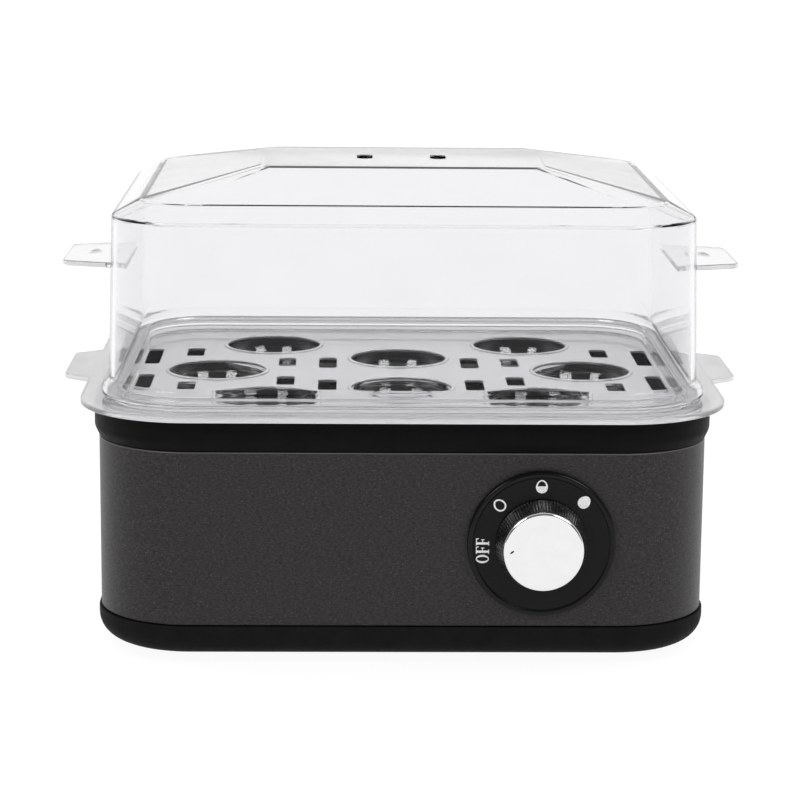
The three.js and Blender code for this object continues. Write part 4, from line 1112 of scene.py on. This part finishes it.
# Letters as shares of their height, with the stem on the left and the foot at zero
LETTER_STEPS = 40
LETTER_MIDDLE = 0.5
LETTER_O_WIDTH = 0.66
LETTER_O_HOLE = (0.52, 0.84)
LETTER_F_WIDTH = 0.58
LETTER_F = (
    (0, 0), (0.36, 0), (0.36, 0.04), (0.27, 0.07), (0.27, 0.46), (0.43, 0.46),
    (0.46, 0.36), (0.5, 0.36), (0.5, 0.62), (0.46, 0.62), (0.43, 0.53), (0.27, 0.53),
    (0.27, 0.94), (0.47, 0.94), (0.54, 0.78), (0.58, 0.78), (0.57, 1), (0, 1),
    (0, 0.96), (0.09, 0.93), (0.09, 0.07), (0, 0.04),
)


def flat_mark(loops):
    """A thin raised print within closed loops of (u, v) points, the inner ones being holes."""
    bm = bmesh.new()
    edges = []
    for loop in loops:
        verts = [bm.verts.new((u, v, BEZEL_FACE)) for u, v in loop]
        edges += [bm.edges.new((verts[i - 1], verts[i])) for i in range(len(verts))]
    bmesh.ops.triangle_fill(bm, edges=edges, use_beauty=True)
    proud = bmesh.ops.extrude_face_region(bm, geom=bm.faces[:])
    verts = [item for item in proud["geom"] if isinstance(item, bmesh.types.BMVert)]
    bmesh.ops.translate(bm, vec=(0, 0, MARK_PROUD), verts=verts)
    bmesh.ops.recalc_face_normals(bm, faces=bm.faces)
    return bm


def egg_arc(inset, angle, centre, turns):
    """Points of an egg outline at given turns. Its sharp end faces away from the dial's middle."""
    a, b = EGG_HALF_WIDTH - inset, EGG_HALF_HEIGHT - inset
    turn = angle - math.pi / 2
    points = []
    for t in turns:
        u = a * math.cos(t) * (1 - EGG_TAPER * math.sin(t))
        v = b * math.sin(t)
        points.append((centre[0] + u * math.cos(turn) - v * math.sin(turn),
                       centre[1] + u * math.sin(turn) + v * math.cos(turn)))
    return points


def egg_loop(inset, angle, centre):
    """A whole egg outline."""
    return egg_arc(inset, angle, centre, [2 * math.pi * i / EGG_STEPS for i in range(EGG_STEPS)])


def mark_place(name):
    """The angle and the middle of a mark, as seen from the front."""
    degrees, reach = MARK_PLACES[name]
    angle = math.radians(degrees)
    return angle, (reach * math.cos(angle), reach * math.sin(angle))


def oval(half_width, half_height):
    """Oval in the middle of the letter O, in shares of the letter's height."""
    turns = [2 * math.pi * i / LETTER_STEPS for i in range(LETTER_STEPS)]
    middle = LETTER_O_WIDTH / 2
    return [
        (middle + half_width * math.cos(t), LETTER_MIDDLE + half_height * math.sin(t))
        for t in turns
    ]


def off_letters():
    """The three letters of the off position, read from below upwards."""
    half = LETTER_O_WIDTH / 2
    hole_width, hole_height = LETTER_O_HOLE
    ovals = (oval(half, LETTER_MIDDLE), oval(half * hole_width, hole_height / 2))
    letter_o = (LETTER_O_WIDTH, ovals)
    letter_f = (LETTER_F_WIDTH, (LETTER_F,))
    word = (letter_o, letter_f, letter_f)
    length = sum(width for width, loops in word) * LETTER_HEIGHT + 2 * LETTER_GAP
    along = OFF_DROP - length / 2
    letters = []
    for width, loops in word:
        letters.append(flat_mark([
            [(-OFF_REACH - (b - LETTER_MIDDLE) * LETTER_HEIGHT, along + a * LETTER_HEIGHT)
             for a, b in loop]
            for loop in loops
        ]))
        along += width * LETTER_HEIGHT + LETTER_GAP
    return united(*letters)


def make_marks():
    """Empty, half and full egg, and the letters of the off position."""
    angle, centre = mark_place("soft")
    soft = flat_mark([egg_loop(0, angle, centre), egg_loop(EGG_STROKE, angle, centre)])
    angle, centre = mark_place("medium")
    half_turns = [math.pi * i / (EGG_STEPS / 2 - 1) for i in range(EGG_STEPS // 2)]
    raised = (centre[0], centre[1] + HALF_EGG_LIFT)
    medium = flat_mark([
        egg_loop(0, angle, centre), egg_arc(EGG_STROKE, angle, raised, half_turns),
    ])
    angle, centre = mark_place("hard")
    hard = flat_mark([egg_loop(0, angle, centre)])
    marks = {
        "mark_soft": soft, "mark_medium": medium, "mark_hard": hard, "mark_off": off_letters(),
    }
    for name, bm in marks.items():
        placed(name, on_dial(bm), INK, "base")


# Carried-over nodes

THERMOSTAT_METAL = ("thermostat_strap", "thermostat_nut_left", "thermostat_nut_right")
FINISHES = {
    "foot_": RUBBER, "cord_gland": RUBBER, "plate_seal": SILICONE,
    "rotary_control": RESIN, "terminal_block": RESIN, "thermostat": RESIN,
}


def finish_of(name):
    """The material of a carried-over node, by the start of its name."""
    if name not in THERMOSTAT_METAL:
        for start, finish in FINISHES.items():
            if name.startswith(start):
                return finish
    return STEEL


def dress_nodes():
    """Materials for the CAD nodes whose own shape stays."""
    for name, node in frame["nodes"].items():
        for slot in node.material_slots:
            slot.material = finish_of(name)


# Studio

# The floor in millimetres, the softboxes in metres
FLOOR_HALF = 60000
FLOOR_CELLS = 4
WORLD_FRONT = 0.08
WORLD_BACK = 0.97
WORLD_FADE_START = -0.5
WORLD_FADE_END = 0.25
SUN_STRENGTH = 0.2
SUN_SOFTNESS = 100
SUN_DIRECTION = (0.0, 0.3, -1.0)
BOX_SIDE = 0.72
BOX_FRONT = -0.82
BOX_HEIGHT = 0.8
BOX_TALL = 0.4
BOX_LEFT_WIDTH = 0.5
BOX_RIGHT_WIDTH = 0.58
BOX_AIM = (0, 0, 0.09)
BOX_RADIANCE = 9.0


def make_floor():
    """The white table, far wider than the view."""
    bm = bmesh.new()
    bmesh.ops.create_grid(bm, x_segments=FLOOR_CELLS, y_segments=FLOOR_CELLS, size=FLOOR_HALF)
    bmesh.ops.scale(bm, vec=(MM, MM, MM), verts=bm.verts)
    mesh = bpy.data.meshes.new("floor")
    bm.to_mesh(mesh)
    bm.free()
    floor = bpy.data.objects.new("floor", mesh)
    bpy.context.scene.collection.objects.link(floor)
    floor.data.materials.append(floor_paper())


def softbox(name, side, width, receivers):
    """A rectangular lamp aimed at the object, which lights only the receivers."""
    data = bpy.data.lights.new(name, "AREA")
    data.shape = "RECTANGLE"
    data.size, data.size_y = width, BOX_TALL
    data.energy = BOX_RADIANCE * math.pi * width * BOX_TALL
    lamp = bpy.data.objects.new(name, data)
    lamp.location = (side * BOX_SIDE, BOX_FRONT, BOX_HEIGHT)
    aim = Vector(BOX_AIM) - Vector((side * BOX_SIDE, BOX_FRONT, BOX_HEIGHT))
    lamp.rotation_euler = aim.to_track_quat("-Z", "Y").to_euler()
    lamp.light_linking.receiver_collection = receivers
    bpy.context.scene.collection.objects.link(lamp)


def make_world():
    """Soft dome, bright behind the object and dim on the camera's side."""
    world = bpy.data.worlds.new("studio")
    world.use_nodes = True
    nodes, links = world.node_tree.nodes, world.node_tree.links
    place = nodes.new("ShaderNodeTexCoord")
    split = nodes.new("ShaderNodeSeparateXYZ")
    fade = nodes.new("ShaderNodeMapRange")
    fade.interpolation_type = "SMOOTHSTEP"
    fade.inputs["From Min"].default_value = WORLD_FADE_START
    fade.inputs["From Max"].default_value = WORLD_FADE_END
    fade.inputs["To Min"].default_value = WORLD_FRONT
    fade.inputs["To Max"].default_value = WORLD_BACK
    links.new(place.outputs["Generated"], split.inputs["Vector"])
    links.new(split.outputs["Y"], fade.inputs["Value"])
    links.new(fade.outputs["Result"], nodes["Background"].inputs["Strength"])
    nodes["Background"].inputs["Color"].default_value = (*WHITE, 1)
    bpy.context.scene.world = world


def make_studio():
    """Dome, soft overhead sun, and two softboxes that light everything but the floor."""
    scene = bpy.context.scene
    scene.view_settings.view_transform = "Standard"
    make_world()
    data = bpy.data.lights.new("overhead", "SUN")
    data.energy = SUN_STRENGTH
    data.angle = math.radians(SUN_SOFTNESS)
    sun = bpy.data.objects.new("overhead", data)
    sun.rotation_euler = Vector(SUN_DIRECTION).to_track_quat("-Z", "Y").to_euler()
    scene.collection.objects.link(sun)
    lit = bpy.data.collections.new("lit_by_boxes")
    for obj in scene.objects:
        if obj.type == "MESH" and obj.name != "floor":
            lit.objects.link(obj)
    softbox("softbox_left", -1, BOX_LEFT_WIDTH, lit)
    softbox("softbox_right", 1, BOX_RIGHT_WIDTH, lit)


def make_camera():
    """The photograph's camera."""
    data = bpy.data.cameras.new("camera")
    data.lens = CAMERA_LENS
    data.sensor_width = CAMERA_SENSOR
    camera = bpy.data.objects.new("camera", data)
    camera.matrix_world = (
        Matrix.Translation((Vector(CAMERA_PLACE) + Vector((0, MIDDLE_Y, 0))) * MM)
        @ Matrix.Rotation(math.radians(CAMERA_YAW), 4, "Z")
        @ Matrix.Rotation(math.radians(90 - CAMERA_PITCH), 4, "X")
        @ Matrix.Rotation(math.radians(CAMERA_ROLL), 4, "Z")
    )
    bpy.context.scene.collection.objects.link(camera)
    bpy.context.scene.camera = camera


make_camera()
dress_nodes()
make_pan()
make_band()
make_collar()
make_plate()
make_tray()
make_lid()
make_bezel()
make_knob()
make_cap()
make_marks()
make_floor()
make_studio()
